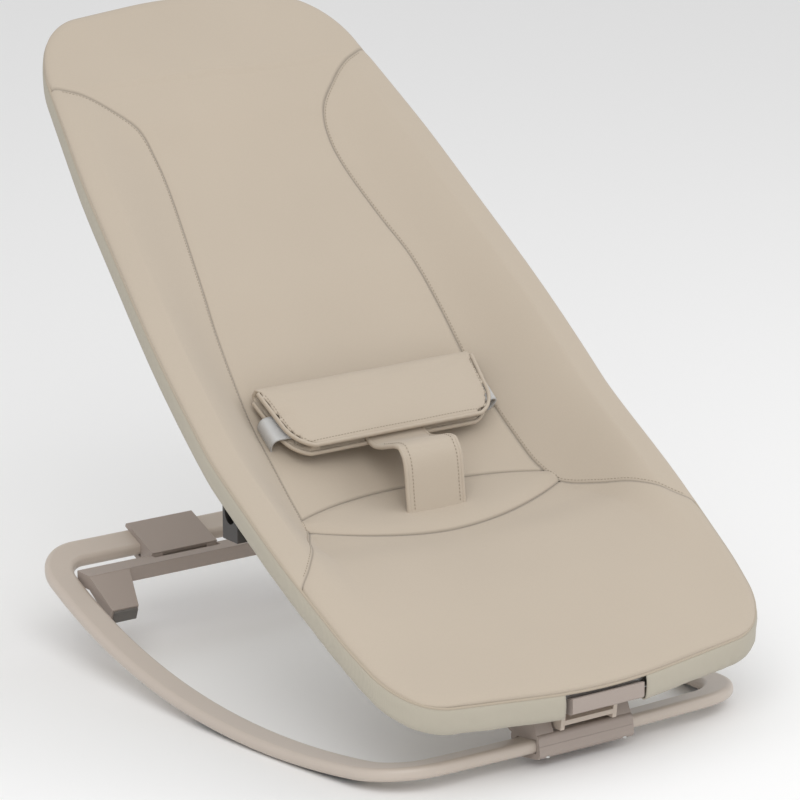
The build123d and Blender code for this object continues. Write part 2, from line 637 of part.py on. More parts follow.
def make_cover():
    outside = plan_prism(outline_face(TUBE_R + COVER_WALL - 0.5))
    slab = top_slab() & outside
    right_wing = slab & plan_prism(offset(wing_face(), amount=-SEAM / 2))
    wing_cut = both_sides(plan_prism(offset(wing_face(), amount=SEAM / 2)))
    pan_cut = plan_prism(offset(pan_face(), amount=SEAM / 2))
    middle = slab - wing_cut - pan_cut
    far = 900
    foot_panel = middle & block(-far, far, -far, PAN_Y + 6, -far, far)
    back_panel = middle & block(-far, far, PAN_Y + 6, far, -far, far)
    parts["footrest_panel"] = foot_panel.solids().sort_by(SortBy.VOLUME)[-1]
    parts["backrest_panel"] = back_panel.solids().sort_by(SortBy.VOLUME)[-1]
    parts["seat_pan_insert"] = (slab & plan_prism(offset(pan_face(), amount=-SEAM / 2))) - wing_cut
    parts["wing_right"] = right_wing
    parts["wing_left"] = mirror(right_wing, about=Plane.YZ)
    saddle_room = both_sides(block(FRAME_HALF - 14, FRAME_HALF + 10, CROSS_Y - 12, CROSS_Y + 12, 0, 500))
    inside = plan_prism(outline_face(TUBE_R + COVER_WALL - BAND - 0.5))
    back = back_slab() & inside
    back -= saddle_room
    back -= block(-BRACKET_HALF - 2, BRACKET_HALF + 2, FOOT_Y - 60, PIVOT_Y - 10, 0, 500)
    parts["cover_underside"] = back.solids().sort_by(SortBy.VOLUME)[-1]
    outer = outline_face(TUBE_R + COVER_WALL)
    ring = outer - outline_face(TUBE_R + COVER_WALL - BAND)
    band = plan_prism(ring) & frame_layer(-TUBE_R - 3, TUBE_R - 0.5)
    band -= block(-BRACKET_HALF - 5, BRACKET_HALF + 5, FOOT_Y - 60, FOOT_Y + 40, 0, 300)
    parts["cover_side_band"] = band
    piping = outer - outline_face(TUBE_R + COVER_WALL - 2.6)
    parts["cover_piping"] = plan_prism(piping) & frame_layer(TUBE_R - 0.3, TUBE_R + 0.5)


# ------------------------------------------------------------------ harness
def pad_plane():
    a = math.radians(PAD_ANGLE)
    return Plane(origin=(0, PAD_Y, PAD_Z), x_dir=(1, 0, 0), z_dir=(0, -math.sin(a), math.cos(a)))


def make_harness():
    plane = pad_plane()
    half = PAD_LENGTH / 2
    thick = PAD_LEAF + PAD_GAP + PAD_BACK_LEAF
    top = PAD_TOP_WIDTH / 2
    low = PAD_LOW_WIDTH / 2
    shape = make_face(Polyline((-low, -half), (low, -half), (top, half), (-top, half), close=True))
    shape = fillet(shape.vertices(), 12)
    pad = extrude(shape, amount=-thick)
    gap = block(-top - 20, top + 20, -half - 20, half - 7, -PAD_LEAF - PAD_GAP, -PAD_LEAF)
    pad -= gap
    parts["belt_pad"] = plane * pad
    mid = -PAD_LEAF - PAD_GAP / 2
    w = WEBBING_THICK / 2
    up = WEBBING_WIDTH / 2
    # buckles just inside the pad's ends
    inner = low - 8 - BUCKLE_LENGTH
    outer = low - 8
    body = block(inner, inner + BUCKLE_LENGTH * 0.6, -15, 15, mid - BUCKLE_THICK / 2, mid + BUCKLE_THICK / 2)
    body = fillet(body.edges().filter_by(Axis.Z), 4)
    cavity = block(inner + 9, inner + BUCKLE_LENGTH * 0.6 + 1, -11, 11, mid - 2.4, mid + 2.4)
    slot = block(inner - 1, inner + 5.2, -up - 0.4, up + 0.4, mid - 9, mid + 9)
    end_bar = block(inner + 0.2, inner + 2.6, -up - 1, up + 1, mid - 1.4, mid + 1.4)
    button_hole = Pos(inner + 14.5, 0, mid) * Cylinder(4.3, 20) & block(0, 200, -20, 20, mid, mid + 20)
    body = body - cavity - slot - button_hole + end_bar
    tongue = block(inner + 10.3, outer, -8, 8, mid - 1.6, mid + 1.6)
    head = block(inner + BUCKLE_LENGTH * 0.6 + 0.4, outer, -15, 15, mid - 3, mid + 3)
    tongue += fillet(head.edges().filter_by(Axis.Z), 3)
    tongue -= block(outer - 5.2, outer + 1, -up - 0.4, up + 0.4, mid - 9, mid + 9)
    tongue += block(outer - 2.6, outer - 0.2, -up - 1, up + 1, mid - 1.4, mid + 1.4)
    tongue -= Pos(inner + 14.5, 0, mid) * Cylinder(4.8, 20)
    button = Pos(inner + 14.5, 0, mid + BUCKLE_THICK / 4 + 0.2) * Cylinder(4.0, BUCKLE_THICK / 2)
    spring = Pos(inner + 14.5, 0, mid - 1.15) * Cylinder(3.0, 2.4)
    spring -= Pos(inner + 14.5, 0, mid - 1.15) * Cylinder(2.0, 3)
    for name, piece in (("buckle_body", body), ("buckle_tongue", tongue), ("buckle_button", button),
                        ("buckle_spring", spring)):
        parts[name + "_right"] = plane * piece
        parts[name + "_left"] = mirror(plane * piece, about=Plane.YZ)
    # webbing between the buckles, and from each tongue to the seat's seam
    centre = block(-inner + 2, inner - 2, -up, up, mid - w, mid + w)
    loop = webbing_loop(inner - 3, inner + 4.6, up, mid)
    parts["belt_webbing"] = plane * (centre + loop + mirror(loop, about=Plane.YZ))
    reach = HOLLOW_HALF
    drop = mid - 5
    bend = PAD_TOP_WIDTH / 2 - 4
    line = [(outer + 2, mid - w), (bend, mid - w), (reach - 2, drop), (reach - 2, drop + 1.7), (bend + 0.4, mid + w),
            (outer + 2, mid + w)]
    tail_face = make_face(Plane.XZ * Polyline(*line, close=True))
    tail = extrude(tail_face, amount=up, both=True) + webbing_loop(outer - 4.6, outer + 3, up, mid)
    parts["side_webbing_right"] = plane * tail
    parts["side_webbing_left"] = mirror(plane * tail, about=Plane.YZ)
    make_crotch_strap()


def webbing_loop(x0, x1, up, mid):
    """Webbing folded round a buckle's end bar."""
    t = WEBBING_THICK
    outside = block(x0, x1, -up, up, mid - 1.6 - t, mid + 1.6 + t)
    return outside - block(x0 + t, x1 - t, -up - 1, up + 1, mid - 1.6, mid + 1.6)


def make_crotch_strap():
    """Strap from the slot in the seat pan, over a fold and up into the pad's gap."""
    plane = pad_plane()
    mid = -PAD_LEAF - PAD_GAP / 2
    end = plane.from_local_coords((0, -WEBBING_WIDTH / 2 - 2, mid))
    mouth = plane.from_local_coords((0, -PAD_LENGTH / 2 - 6, mid))
    slot_z = seat_top(SLOT_Y)
    points = [(SLOT_Y, slot_z + 0.6), (SLOT_Y + 4, slot_z + 44), (SLOT_Y + 13, slot_z + 68),
              (mouth.Y - 8, mouth.Z + 8), (mouth.Y, mouth.Z), (end.Y, end.Z)]
    line = FilletPolyline(*points, radius=[30, 9, 12, 6])
    face = Plane.YZ * trace(line, line_width=STRAP_THICK)
    strap = Pos(-STRAP_WIDTH / 2, 0, 0) * extrude(face, amount=STRAP_WIDTH, dir=(1, 0, 0))
    cut = block(-60, 60, SLOT_Y - 60, SLOT_Y + 30, -100, slot_z + 3.2)
    parts["crotch_strap"] = strap - cut


def seat_top(y):
    """Height of the seat's middle at y, between the stations."""
    rows = cover_stations()
    for a, b in zip(rows, rows[1:]):
        if y <= b[0]:
            share = (y - a[0]) / (b[0] - a[0])
            za = edge_z(a[0]) + normal_lift(a[0], RIM) - a[3]
            zb = edge_z(b[0]) + normal_lift(b[0], RIM) - b[3]
            return za + share * (zb - za)
    return 0.0


# ------------------------------------------------------------------ kickstand
def make_stand(loop_room):
    place = bar_place(LOOP_LENGTH)
    pin = (place * Pos(0, -STAND_REACH_IN, 0)).position
    pin_y, pin_z = pin.Y, pin.Z
    half = STAND_WIDTH / 2
    front_y = pin_y - STAND_BARREL_R - STAND_BAR
    bar_top = pin_z + 6
    bar_low = pin_z - 7
    # cross bar in front of the rear bar, with a hinge barrel in each bracket
    body = side_prism([(front_y, bar_low), (pin_y - 5, bar_low), (pin_y - 5, bar_top), (front_y, bar_top)],
                      -half, half)
    ear_room = KNUCKLE_EAR + PLAY
    for side in (-1, 1):
        a = side * (KNUCKLE_INNER - PLAY)
        b = side * (KNUCKLE_OUTER + PLAY)
        body -= block(min(a, b), max(a, b), pin_y - STAND_BARREL_R - BRACKET_WALL - 2, pin_y + 20, bar_low - 5,
                      bar_top + 5)
        c = side * (KNUCKLE_INNER + ear_room)
        d = side * (KNUCKLE_OUTER - ear_room)
        x0, x1 = min(c, d), max(c, d)
        body += bar(x0, x1, pin_y, pin_z, STAND_BARREL_R)
        body += block(x0, x1, pin_y - STAND_BARREL_R - BRACKET_WALL - 3, pin_y - 2, pin_z - 5, pin_z + 1)
    # hole for the hinge pins
    body -= bar(-half - 5, half + 5, pin_y, pin_z, STAND_PIN_R + RUNNING)
    tilt = math.radians(LEG_TILT)
    reach = pin_z - FOOT_PAD - 0.4
    tip_y = pin_y - reach * math.cos(tilt)
    tip_z = pin_z - reach * math.sin(tilt)
    leg = make_leg(front_y, tip_y, half, bar_low, bar_top, tip_z)
    for piece in both_sides(leg):
        body += piece
    parts["kickstand"] = body
    # rubber pad on each leg's end, square to the line from the pin
    pad_plane_end = Plane(origin=(0, tip_y, tip_z), x_dir=(1, 0, 0), z_dir=(0, -math.cos(tilt), -math.sin(tilt)))
    x_mid = half - LEG_TIP / 2
    pad = pad_plane_end * Pos(x_mid, 0, FOOT_PAD / 2) * Box(LEG_TIP - 3, LEG_THICK - 3, FOOT_PAD)
    parts["kickstand_pads"] = both_sides(pad)
    make_brackets(loop_room, place)


def make_leg(front_y, tip_y, half, bar_low, bar_top, tip_z):
    """Leg that narrows and drops from the cross bar to its end, for the right side."""
    tilt = math.radians(LEG_TILT)
    root = make_face(Polyline((half - LEG_ROOT, front_y + 1, bar_low), (half, front_y + 1, bar_low),
                              (half, front_y + 1, bar_top), (half - LEG_ROOT, front_y + 1, bar_top), close=True))
    up = Vector(0, -math.sin(tilt), math.cos(tilt)) * (LEG_THICK / 2)
    a = Vector(0, tip_y, tip_z) - up
    b = Vector(0, tip_y, tip_z) + up
    tip = make_face(Polyline((half - LEG_TIP, a.Y, a.Z), (half, a.Y, a.Z), (half, b.Y, b.Z),
                             (half - LEG_TIP, b.Y, b.Z), close=True))
    return loft([root, tip], ruled=True)


def make_brackets(loop_room, place):
    """Two shells round the rear bar on each side, with ears for the hinge pin."""
    side = OVAL_WIDTH / 2 + BRACKET_WALL
    wall = OVAL_HEIGHT / 2 + BRACKET_WALL
    rear = side + SCREW_LIP
    nose = -STAND_REACH_IN - STAND_BARREL_R - 1
    a, b = KNUCKLE_INNER, KNUCKLE_OUTER
    upper = block(a, b, -side, rear, 0.1, wall)
    lower = block(a, b, -side, rear, -wall, -0.1)
    lower = fillet(lower.edges().filter_by(Axis.X).group_by(Axis.Z)[0], 2.5)
    ear = side_prism([(-side + 1, 0.1), (-side + 1, wall), (nose + 4, wall), (nose, 4), (nose, -4),
                      (nose + 4, -STAND_BARREL_R), (-side - 0.2, -STAND_BARREL_R), (-side - 0.2, 0.1)], 0, KNUCKLE_EAR)
    upper += Pos(a, 0, 0) * ear
    upper += Pos(b - KNUCKLE_EAR, 0, 0) * ear
    upper += block(a, b, nose + 3, -side + 1, STAND_BARREL_R + 0.8, wall)
    upper = fillet(upper.edges().filter_by(Axis.X).group_by(Axis.Z)[-1].sort_by(Axis.Y)[-1:], 2.5)
    upper -= bar(a + 2, b - 2, -STAND_REACH_IN, 0, STAND_PIN_R + 0.02)
    screws = []
    for x in (a + 8, b - 8):
        y = rear - 1.15
        screw = post(x, y, -wall + 1.6, wall - 2, 0.7) + post(x, y, -wall + 0.4, -wall + 1.6, 1.0)
        room = post(x, y, -wall - 1, wall - 1.9, 0.75) + post(x, y, -wall - 1, -wall + 1.65, 1.05)
        upper -= room
        lower -= room
        screws += both_sides(place * screw)
    upper = (place * upper - loop_room).solids().sort_by(SortBy.VOLUME)[-1]
    lower = (place * lower - loop_room).solids().sort_by(SortBy.VOLUME)[-1]
    parts["stand_bracket_upper_right"] = upper
    parts["stand_bracket_upper_left"] = mirror(upper, about=Plane.YZ)
    parts["stand_bracket_lower_right"] = lower
    parts["stand_bracket_lower_left"] = mirror(lower, about=Plane.YZ)
    parts["stand_bracket_screws"] = screws
    pin = place * bar(a + 2.2, b - 2.2, -STAND_REACH_IN, 0, STAND_PIN_R)
    parts["stand_pins"] = both_sides(pin)


# ------------------------------------------------------------------ whole seat
def as_compound(piece):
    solids = []
    for item in (piece if isinstance(piece, (list, tuple)) else [piece]):
        solids += list(item.solids())
    return Compound(children=solids)


def main():
    make_base()
    room = grown_loop()
    make_hub(room)
    make_frame()
    cross_low, cross_r = make_cross_tube()
    make_arm(cross_low, cross_r)
    make_bracket()
    make_cover()
    make_harness()
    make_stand(room)
    os.makedirs("parts", exist_ok=True)
    shapes = {name: as_compound(piece) for name, piece in parts.items()}
    boxes = [shape.bounding_box() for shape in shapes.values()]
    y_mid = (min(b.min.Y for b in boxes) + max(b.max.Y for b in boxes)) / 2
    z_low = min(b.min.Z for b in boxes)
    for name, shape in shapes.items():
        export_step(shape.moved(Location((0, -y_mid, -z_low))), f"parts/{name}.step")
    print("moved by", -y_mid, -z_low)
    pin = (bar_place(LOOP_LENGTH) * Pos(0, -STAND_REACH_IN, 0)).position
    print("stand pin", pin.Y, pin.Z)


main()
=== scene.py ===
import json
import math

import bmesh
import bpy
import numpy as np
from bpy.props import FloatProperty, FloatVectorProperty, PointerProperty
from mathutils import Matrix, Vector, noise
from mathutils.bvhtree import BVHTree
from mathutils.geometry import convex_hull_2d


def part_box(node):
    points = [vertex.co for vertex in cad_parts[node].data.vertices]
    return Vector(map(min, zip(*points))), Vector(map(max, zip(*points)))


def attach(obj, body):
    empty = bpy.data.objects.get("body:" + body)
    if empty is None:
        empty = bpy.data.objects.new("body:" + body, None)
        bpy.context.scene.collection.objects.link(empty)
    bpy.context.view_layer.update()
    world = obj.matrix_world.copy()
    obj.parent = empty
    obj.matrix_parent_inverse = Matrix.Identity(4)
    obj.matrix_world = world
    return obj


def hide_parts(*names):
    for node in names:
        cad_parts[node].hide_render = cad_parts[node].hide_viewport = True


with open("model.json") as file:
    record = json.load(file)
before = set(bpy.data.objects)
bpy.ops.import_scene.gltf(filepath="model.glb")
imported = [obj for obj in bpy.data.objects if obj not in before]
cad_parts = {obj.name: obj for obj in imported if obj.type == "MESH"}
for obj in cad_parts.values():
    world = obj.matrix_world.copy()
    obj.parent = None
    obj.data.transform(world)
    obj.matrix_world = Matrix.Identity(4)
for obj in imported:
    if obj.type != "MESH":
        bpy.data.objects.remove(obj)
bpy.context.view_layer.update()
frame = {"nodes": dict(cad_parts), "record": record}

bl_info = {
    "name": "Bouncer seat",
    "version": (1, 0, 0),
    "blender": (4, 5, 0),
    "location": "View3D > Sidebar > Bouncer",
    "description": "Dresses the bouncer seat's frame in its cover, harness and finishes",
    "category": "Object",
}

MM = 0.001

# The seat's form. Lengths along the seat are shares of the stretch below or above the knee.
KNEE = (-53.63 * MM, 224 * MM)
FOOT_ANGLE = math.radians(31.3)
HEAD_ANGLE = math.radians(39.4)
FOOT_RUN = 303 * MM * math.cos(FOOT_ANGLE)
HEAD_RUN = 475 * MM * math.cos(HEAD_ANGLE)
TUBE_R = 9 * MM
RIM = 14 * MM
FLAT = 25 * MM
# Width of the painted shade line along each seam.
SEAM_SHADE_WIDTH = 0.9 * MM
STRAP_FOOT_Y = -86.6 * MM
CUT_OUT_HALF = 42 * MM
KNEE_EASE = 9 * MM
PAD_CENTRE = Vector((0, -6.63 * MM, 247 * MM))
PAD_TILT = math.radians(37.7)

# Across the seat, in millimetres: share, half width of the hollow, depth at its side, depth in the middle
SECTIONS = (
    (-1.10, 150, 0, 0), (-0.84, 150, 0, 0), (-0.64, 150, 2, 5), (-0.41, 148, 16, 24), (-0.25, 142, 38, 46),
    (-0.127, 132, 52, 57), (0.0, 122, 60, 71), (0.11, 118, 64, 81), (0.21, 116, 64, 78), (0.335, 115, 48, 62),
    (0.43, 111, 36, 47), (0.53, 102, 34, 41), (0.64, 93, 30, 33), (0.715, 92, 23, 24), (0.765, 103, 10, 13),
    (0.83, 126, 2, 4), (0.86, 128, 0, 0), (1.12, 120, 0, 0),
)
# The wing's inner seam, from its foot end: share, distance from the middle in millimetres
WING_SEAM = (
    (-0.505, 206), (-0.455, 190), (-0.39, 174.5), (-0.315, 162), (-0.22, 147.5), (-0.127, 132), (-0.06, 127.5),
    (0.0, 125), (0.11, 122), (0.21, 119.5), (0.335, 116.5), (0.43, 110.7), (0.55, 100), (0.64, 93), (0.70, 91.5),
    (0.749, 97), (0.79, 118), (0.818, 137), (0.848, 165),
)


# ---------------------------------------------------------------- settings
def length(name, text, value, low=0.0, high=1.0):
    return FloatProperty(name=name, description=text, default=value, min=low, max=high, unit="LENGTH")


def colour(name, text, value):
    return FloatVectorProperty(name=name, description=text, default=value, size=3, min=0, max=1, subtype="COLOR")


class BOUNCER_PG_cover(bpy.types.PropertyGroup):
    thick: length("Panel thickness", "Foam and fabric of each panel", 4.0 * MM)
    pinch: length("Seam depth", "How far the fabric dips into a seam", 1.7 * MM)
    pinch_reach: length("Seam width", "How far from a seam the dip reaches", 5.0 * MM)
    edge_roll: length("Edge roll", "How far the panels turn down at the outer edge", 5.0 * MM)
    edge_reach: length("Edge roll width", "Width of the turned edge", 9.0 * MM)
    pan_rise: length("Seat pan rise", "How far the half-moon insert stands up", 3.0 * MM)
    slack: length("Unevenness", "Soft unevenness of the stretched fabric", 0.7 * MM)
    piping: length("Piping radius", "Radius of the rolled edge", 1.3 * MM)
    wrinkle: length("Band wrinkles", "Depth of the wrinkles in the side band", 0.9 * MM)


class BOUNCER_PG_harness(bpy.types.PropertyGroup):
    pad_width: length("Pad width", "Belt pad at its fold", 228 * MM)
    pad_lower_width: length("Pad lower width", "Belt pad at its lower edge", 208 * MM)
    pad_length: length("Pad length", "Fold to lower edge", 72 * MM)
    leaf: length("Leaf thickness", "Padding of the pad's front leaf", 5.5 * MM)
    corner: length("Pad corner", "Radius of the lower corners", 26 * MM)
    crown: length("Crown", "How far the front leaf swells", 4.0 * MM)
    binding: length("Binding radius", "Radius of the bound edges", 1.7 * MM)
    strap: length("Strap width", "Crotch strap", 60 * MM)
    strap_thick: length("Strap thickness", "Padding of the crotch strap", 4.4 * MM)
    stitch: length("Stitch length", "One stitch", 2.2 * MM)
    stitch_step: length("Stitch spacing", "From stitch to stitch", 3.1 * MM)


class BOUNCER_PG_colours(bpy.types.PropertyGroup):
    cover: colour("Cover", "Soft cover fabric", (0.478, 0.408, 0.326))
    band: colour("Side band", "Thin woven fabric under the edge", (0.440, 0.402, 0.325))
    piping: colour("Piping", "Rolled edge and bindings", (0.420, 0.356, 0.275))
    thread: colour("Thread", "Sewing thread", (0.330, 0.278, 0.212))
    webbing: colour("Webbing", "Belt webbing", (0.560, 0.560, 0.555))
    tube: colour("Painted tube", "Satin paint of the base", (0.540, 0.468, 0.405))
    plastic: colour("Grey-brown plastic", "Hub, brackets and stand", (0.365, 0.306, 0.270))
    pale: colour("Pale plastic", "Support arm", (0.560, 0.480, 0.405))
    floor: colour("Floor", "Studio floor", (0.93, 0.93, 0.93))


class BOUNCER_PG_stage(bpy.types.PropertyGroup):
    place: FloatVectorProperty(name="Camera", description="Where the camera stands",
                               default=(-1.91986, -2.73193, 1.14604), size=3, subtype="XYZ")
    target: FloatVectorProperty(name="Target", description="What the camera looks at",
                                default=(0.156992, 0.187686, 0.176), size=3, subtype="XYZ")
    lens: FloatProperty(name="Lens", description="Focal length in millimetres", default=180, min=20, max=400)
    roll: FloatProperty(name="Roll", description="Turn about the line of sight", default=0.0045, subtype="ANGLE")
    key: FloatProperty(name="Key light", description="Power of the large front light in watts", default=46, min=0)
    fill: FloatProperty(name="Fill light", description="Power of the side light in watts", default=14, min=0)
    sky: FloatProperty(name="Sky", description="Brightness of the surroundings", default=0.72, min=0)


def settings():
    return bpy.context.scene.bouncer_cover, bpy.context.scene.bouncer_harness


# ---------------------------------------------------------------- curves in plan
def as_points(rows):
    return np.array(rows, dtype=float)


def spline(points, count=200):
    """A smooth curve through the points, evenly spaced along it."""
    points = as_points(points)
    padded = np.vstack([2 * points[0] - points[1], points, 2 * points[-1] - points[-2]])
    made = []
    for i in range(1, len(padded) - 2):
        a, b, c, d = padded[i - 1:i + 3]
        t = np.linspace(0, 1, 24, endpoint=False)[:, None]
        made.append(0.5 * (2 * b + (c - a) * t + (2 * a - 5 * b + 4 * c - d) * t ** 2
                           + (3 * b - a - 3 * c + d) * t ** 3))
    made.append(points[-1:])
    return evenly(np.vstack(made), count)


def evenly(points, count):
    steps = np.concatenate([[0], np.cumsum(np.linalg.norm(np.diff(points, axis=0), axis=1))])
    at = np.linspace(0, steps[-1], count)
    return np.stack([np.interp(at, steps, points[:, k]) for k in range(points.shape[1])], axis=1)


def along(points):
    """The curve as a function of 0 to 1."""
    share = np.linspace(0, 1, len(points))
    return lambda t: np.stack([np.interp(t, share, points[:, k]) for k in range(points.shape[1])], axis=1)


def mirrored(points):
    return points * np.array([-1, 1])


def station_y(share):
    return KNEE[0] + share * (HEAD_RUN if share > 0 else FOOT_RUN)


def cover_outline():
    """The seat's edge in plan, counter-clockwise from the middle of the foot end."""
    mesh = frame["nodes"]["cover_piping"].data
    flat = [(v.co.x, v.co.y) for v in mesh.vertices]
    ring = as_points([flat[i] for i in convex_hull_2d(flat)])
    area = np.sum(ring[:, 0] * np.roll(ring[:, 1], -1) - ring[:, 1] * np.roll(ring[:, 0], -1))
    if area < 0:
        ring = ring[::-1]
    ring = evenly(np.vstack([ring, ring[:1]]), 1601)[:-1]
    first = np.argmin(np.abs(ring[:, 0]) + (ring[:, 1] > 0))
    return np.roll(ring, -first, axis=0)


OUTLINE = cover_outline()


def nearest(ring, point):
    return int(np.argmin(np.linalg.norm(ring - as_points(point), axis=1)))


def stretch(ring, start, end, count=160):
    """The part of a closed ring from start to end, counter-clockwise."""
    a, b = nearest(ring, start), nearest(ring, end)
    if b <= a:
        b += len(ring)
    return evenly(ring[np.arange(a, b + 1) % len(ring)], count)


def distance_to(points, line):
    """Shortest distance from each point to an open line of close points."""
    a, b = line[:-1], line[1:]
    ab = b - a
    span = np.maximum((ab ** 2).sum(1), 1e-12)
    best = np.full(len(points), 1e9)
    for k in range(0, len(points), 4000):
        p = points[k:k + 4000, None, :]
        t = np.clip(((p - a) * ab).sum(2) / span, 0, 1)
        best[k:k + 4000] = np.linalg.norm(p - a - t[..., None] * ab, axis=2).min(1)
    return best


# ---------------------------------------------------------------- the seat's surface
def soft_step(x):
    x = np.clip(x, 0, 1)
    return x * x * (3 - 2 * x)


def edge_height(y):
    """Height of the frame tube's centre line, with the knee eased."""
    gap = y - KNEE[0]
    foot, head = math.tan(FOOT_ANGLE), math.tan(HEAD_ANGLE)
    bend = 0.5 * (gap + np.sqrt(gap * gap + KNEE_EASE * KNEE_EASE))
    return KNEE[1] + gap * foot + (head - foot) * bend


def lift(y):
    """Upright distance for one unit square to the frame."""
    share = soft_step((y - KNEE[0]) / (60 * MM) + 0.5)
    return (1 - share) / math.cos(FOOT_ANGLE) + share / math.cos(HEAD_ANGLE)


def section_values(y):
    rows = as_points([(station_y(s), w * MM, side * MM, deep * MM) for s, w, side, deep in SECTIONS])
    line = spline(rows, 600)
    return [np.interp(y, line[:, 0], line[:, k]) for k in (1, 2, 3)]


def edge_half(y):
    """Half width of the seat's edge at y."""
    right = OUTLINE[OUTLINE[:, 0] > 0]
    order = right[np.argsort(right[:, 1])]
    return np.interp(y, order[:, 1], order[:, 0])


def seat_height(x, y):
    """Height of the padded surface, before its seams."""
    half, side, deep = section_values(y)
    across = np.abs(x)
    rim = edge_height(y) + RIM * lift(y)
    flat = np.maximum(edge_half(y) - FLAT, half + 5 * MM)
    inner = np.clip(across / half, 0, 1)
    middle = rim - deep + (deep - side) * inner ** 1.6
    share = np.clip((across - half) / (flat - half), 0, 1)
    slope = rim - side * (1 - (0.55 * share + 0.45 * soft_step(share)))
    return np.where(across < half, middle, slope)


def unevenness(points, depth):
    return np.array([noise.noise(Vector((x * 14, y * 14, 2.0))) for x, y in points]) * depth


# ---------------------------------------------------------------- mesh helpers
def sheet_mesh(columns, rows, place, close=False):
    """A grid of quads with real-size UVs, put in place by a function of u and v from 0 to 1."""
    bm = bmesh.new()
    bmesh.ops.create_grid(bm, x_segments=columns, y_segments=rows, size=0.5)
    bm.verts.ensure_lookup_table()
    uv = as_points([(v.co.x + 0.5, v.co.y + 0.5) for v in bm.verts])
    spots = place(uv[:, 0], uv[:, 1])
    layer = bm.loops.layers.uv.new("UVMap")
    wide = np.ptp(spots[:, 0])
    tall = np.ptp(spots[:, 1])
    for face in bm.faces:
        for corner in face.loops:
            k = corner.vert.index
            corner[layer].uv = (uv[k, 0] * max(wide, tall), uv[k, 1] * max(wide, tall))
    for vert, spot in zip(bm.verts, spots):
        vert.co = spot
    if close:
        bmesh.ops.remove_doubles(bm, verts=bm.verts, dist=0.02 * MM)
    return bm


def between(near, far, left, right):
    """Fills four plan curves with a net of rows and columns."""
    def place(u, v):
        a, b = u[:, None], v[:, None]
        zero, one = np.zeros(1), np.ones(1)
        corners = ((1 - a) * (1 - b) * near(zero) + a * (1 - b) * near(one)
                   + (1 - a) * b * far(zero) + a * b * far(one))
        return (1 - b) * near(u) + b * far(u) + (1 - a) * left(v) + a * right(v) - corners
    return place


def up_facing(bm):
    """Turns an open sheet so that most of it faces up."""
    bmesh.ops.recalc_face_normals(bm, faces=bm.faces)
    if sum(f.normal.z * f.calc_area() for f in bm.faces) < 0:
        bmesh.ops.reverse_faces(bm, faces=bm.faces)


def piece(name, bm, finish, body, nodes=(), thick=0.0, offset=-1.0):
    """Makes the object, finishes it with modifiers and hands it to the frame."""
    mesh = bpy.data.meshes.new(name)
    bm.to_mesh(mesh)
    bm.free()
    for face in mesh.polygons:
        face.use_smooth = True
    made = bpy.data.objects.new(name, mesh)
    bpy.context.scene.collection.objects.link(made)
    mesh.materials.append(finish)
    if thick:
        wall = made.modifiers.new("Thickness", "SOLIDIFY")
        wall.thickness = thick
        wall.offset = offset
        wall.use_even_offset = False
    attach(made, body)
    if nodes:
        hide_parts(*nodes)
    return made


def frames_along(path, up):
    """Direction, side and upward vectors at each point of a path."""
    path = as_points(path)
    ahead = np.gradient(path, axis=0)
    ahead /= np.maximum(np.linalg.norm(ahead, axis=1, keepdims=True), 1e-9)
    up = np.broadcast_to(as_points(up), path.shape)
    side = np.cross(ahead, up)
    side /= np.maximum(np.linalg.norm(side, axis=1, keepdims=True), 1e-9)
    return ahead, side, np.cross(side, ahead)


def roll_mesh(path, radius, up=(0, 0, 1), sides=10, closed=False, flat=1.0):
    """A round roll along a path of close points."""
    if closed:
        path = np.vstack([path, path[:1]])
    ahead, side, above = frames_along(path, up)
    count = len(path)

    def place(u, v):
        k = np.clip(np.rint(u * (count - 1)).astype(int), 0, count - 1)
        turn = v * 2 * math.pi
        if closed:
            k = k % (count - 1)
        return (path[k] + radius * (np.cos(turn)[:, None] * side[k] + flat * np.sin(turn)[:, None] * above[k]))

    bm = sheet_mesh(count - 1, sides, place, close=True)
    if not closed:
        loops = [e for e in bm.edges if e.is_boundary]
        bmesh.ops.holes_fill(bm, edges=loops, sides=0)
    bmesh.ops.recalc_face_normals(bm, faces=bm.faces)
    return bm


def merge_into(target, source):
    """Adds one bmesh to another."""
    mesh = bpy.data.meshes.new("part")
    source.to_mesh(mesh)
    source.free()
    target.from_mesh(mesh)
    bpy.data.meshes.remove(mesh)


# Stores the painted seam shade mask on the vertices, in the attribute that the cover fabric reads.
def add_painted_seam_shade(bm, values):
    layer = bm.verts.layers.float.new("seam")
    for vert, value in zip(bm.verts, values):
        vert[layer] = float(value)


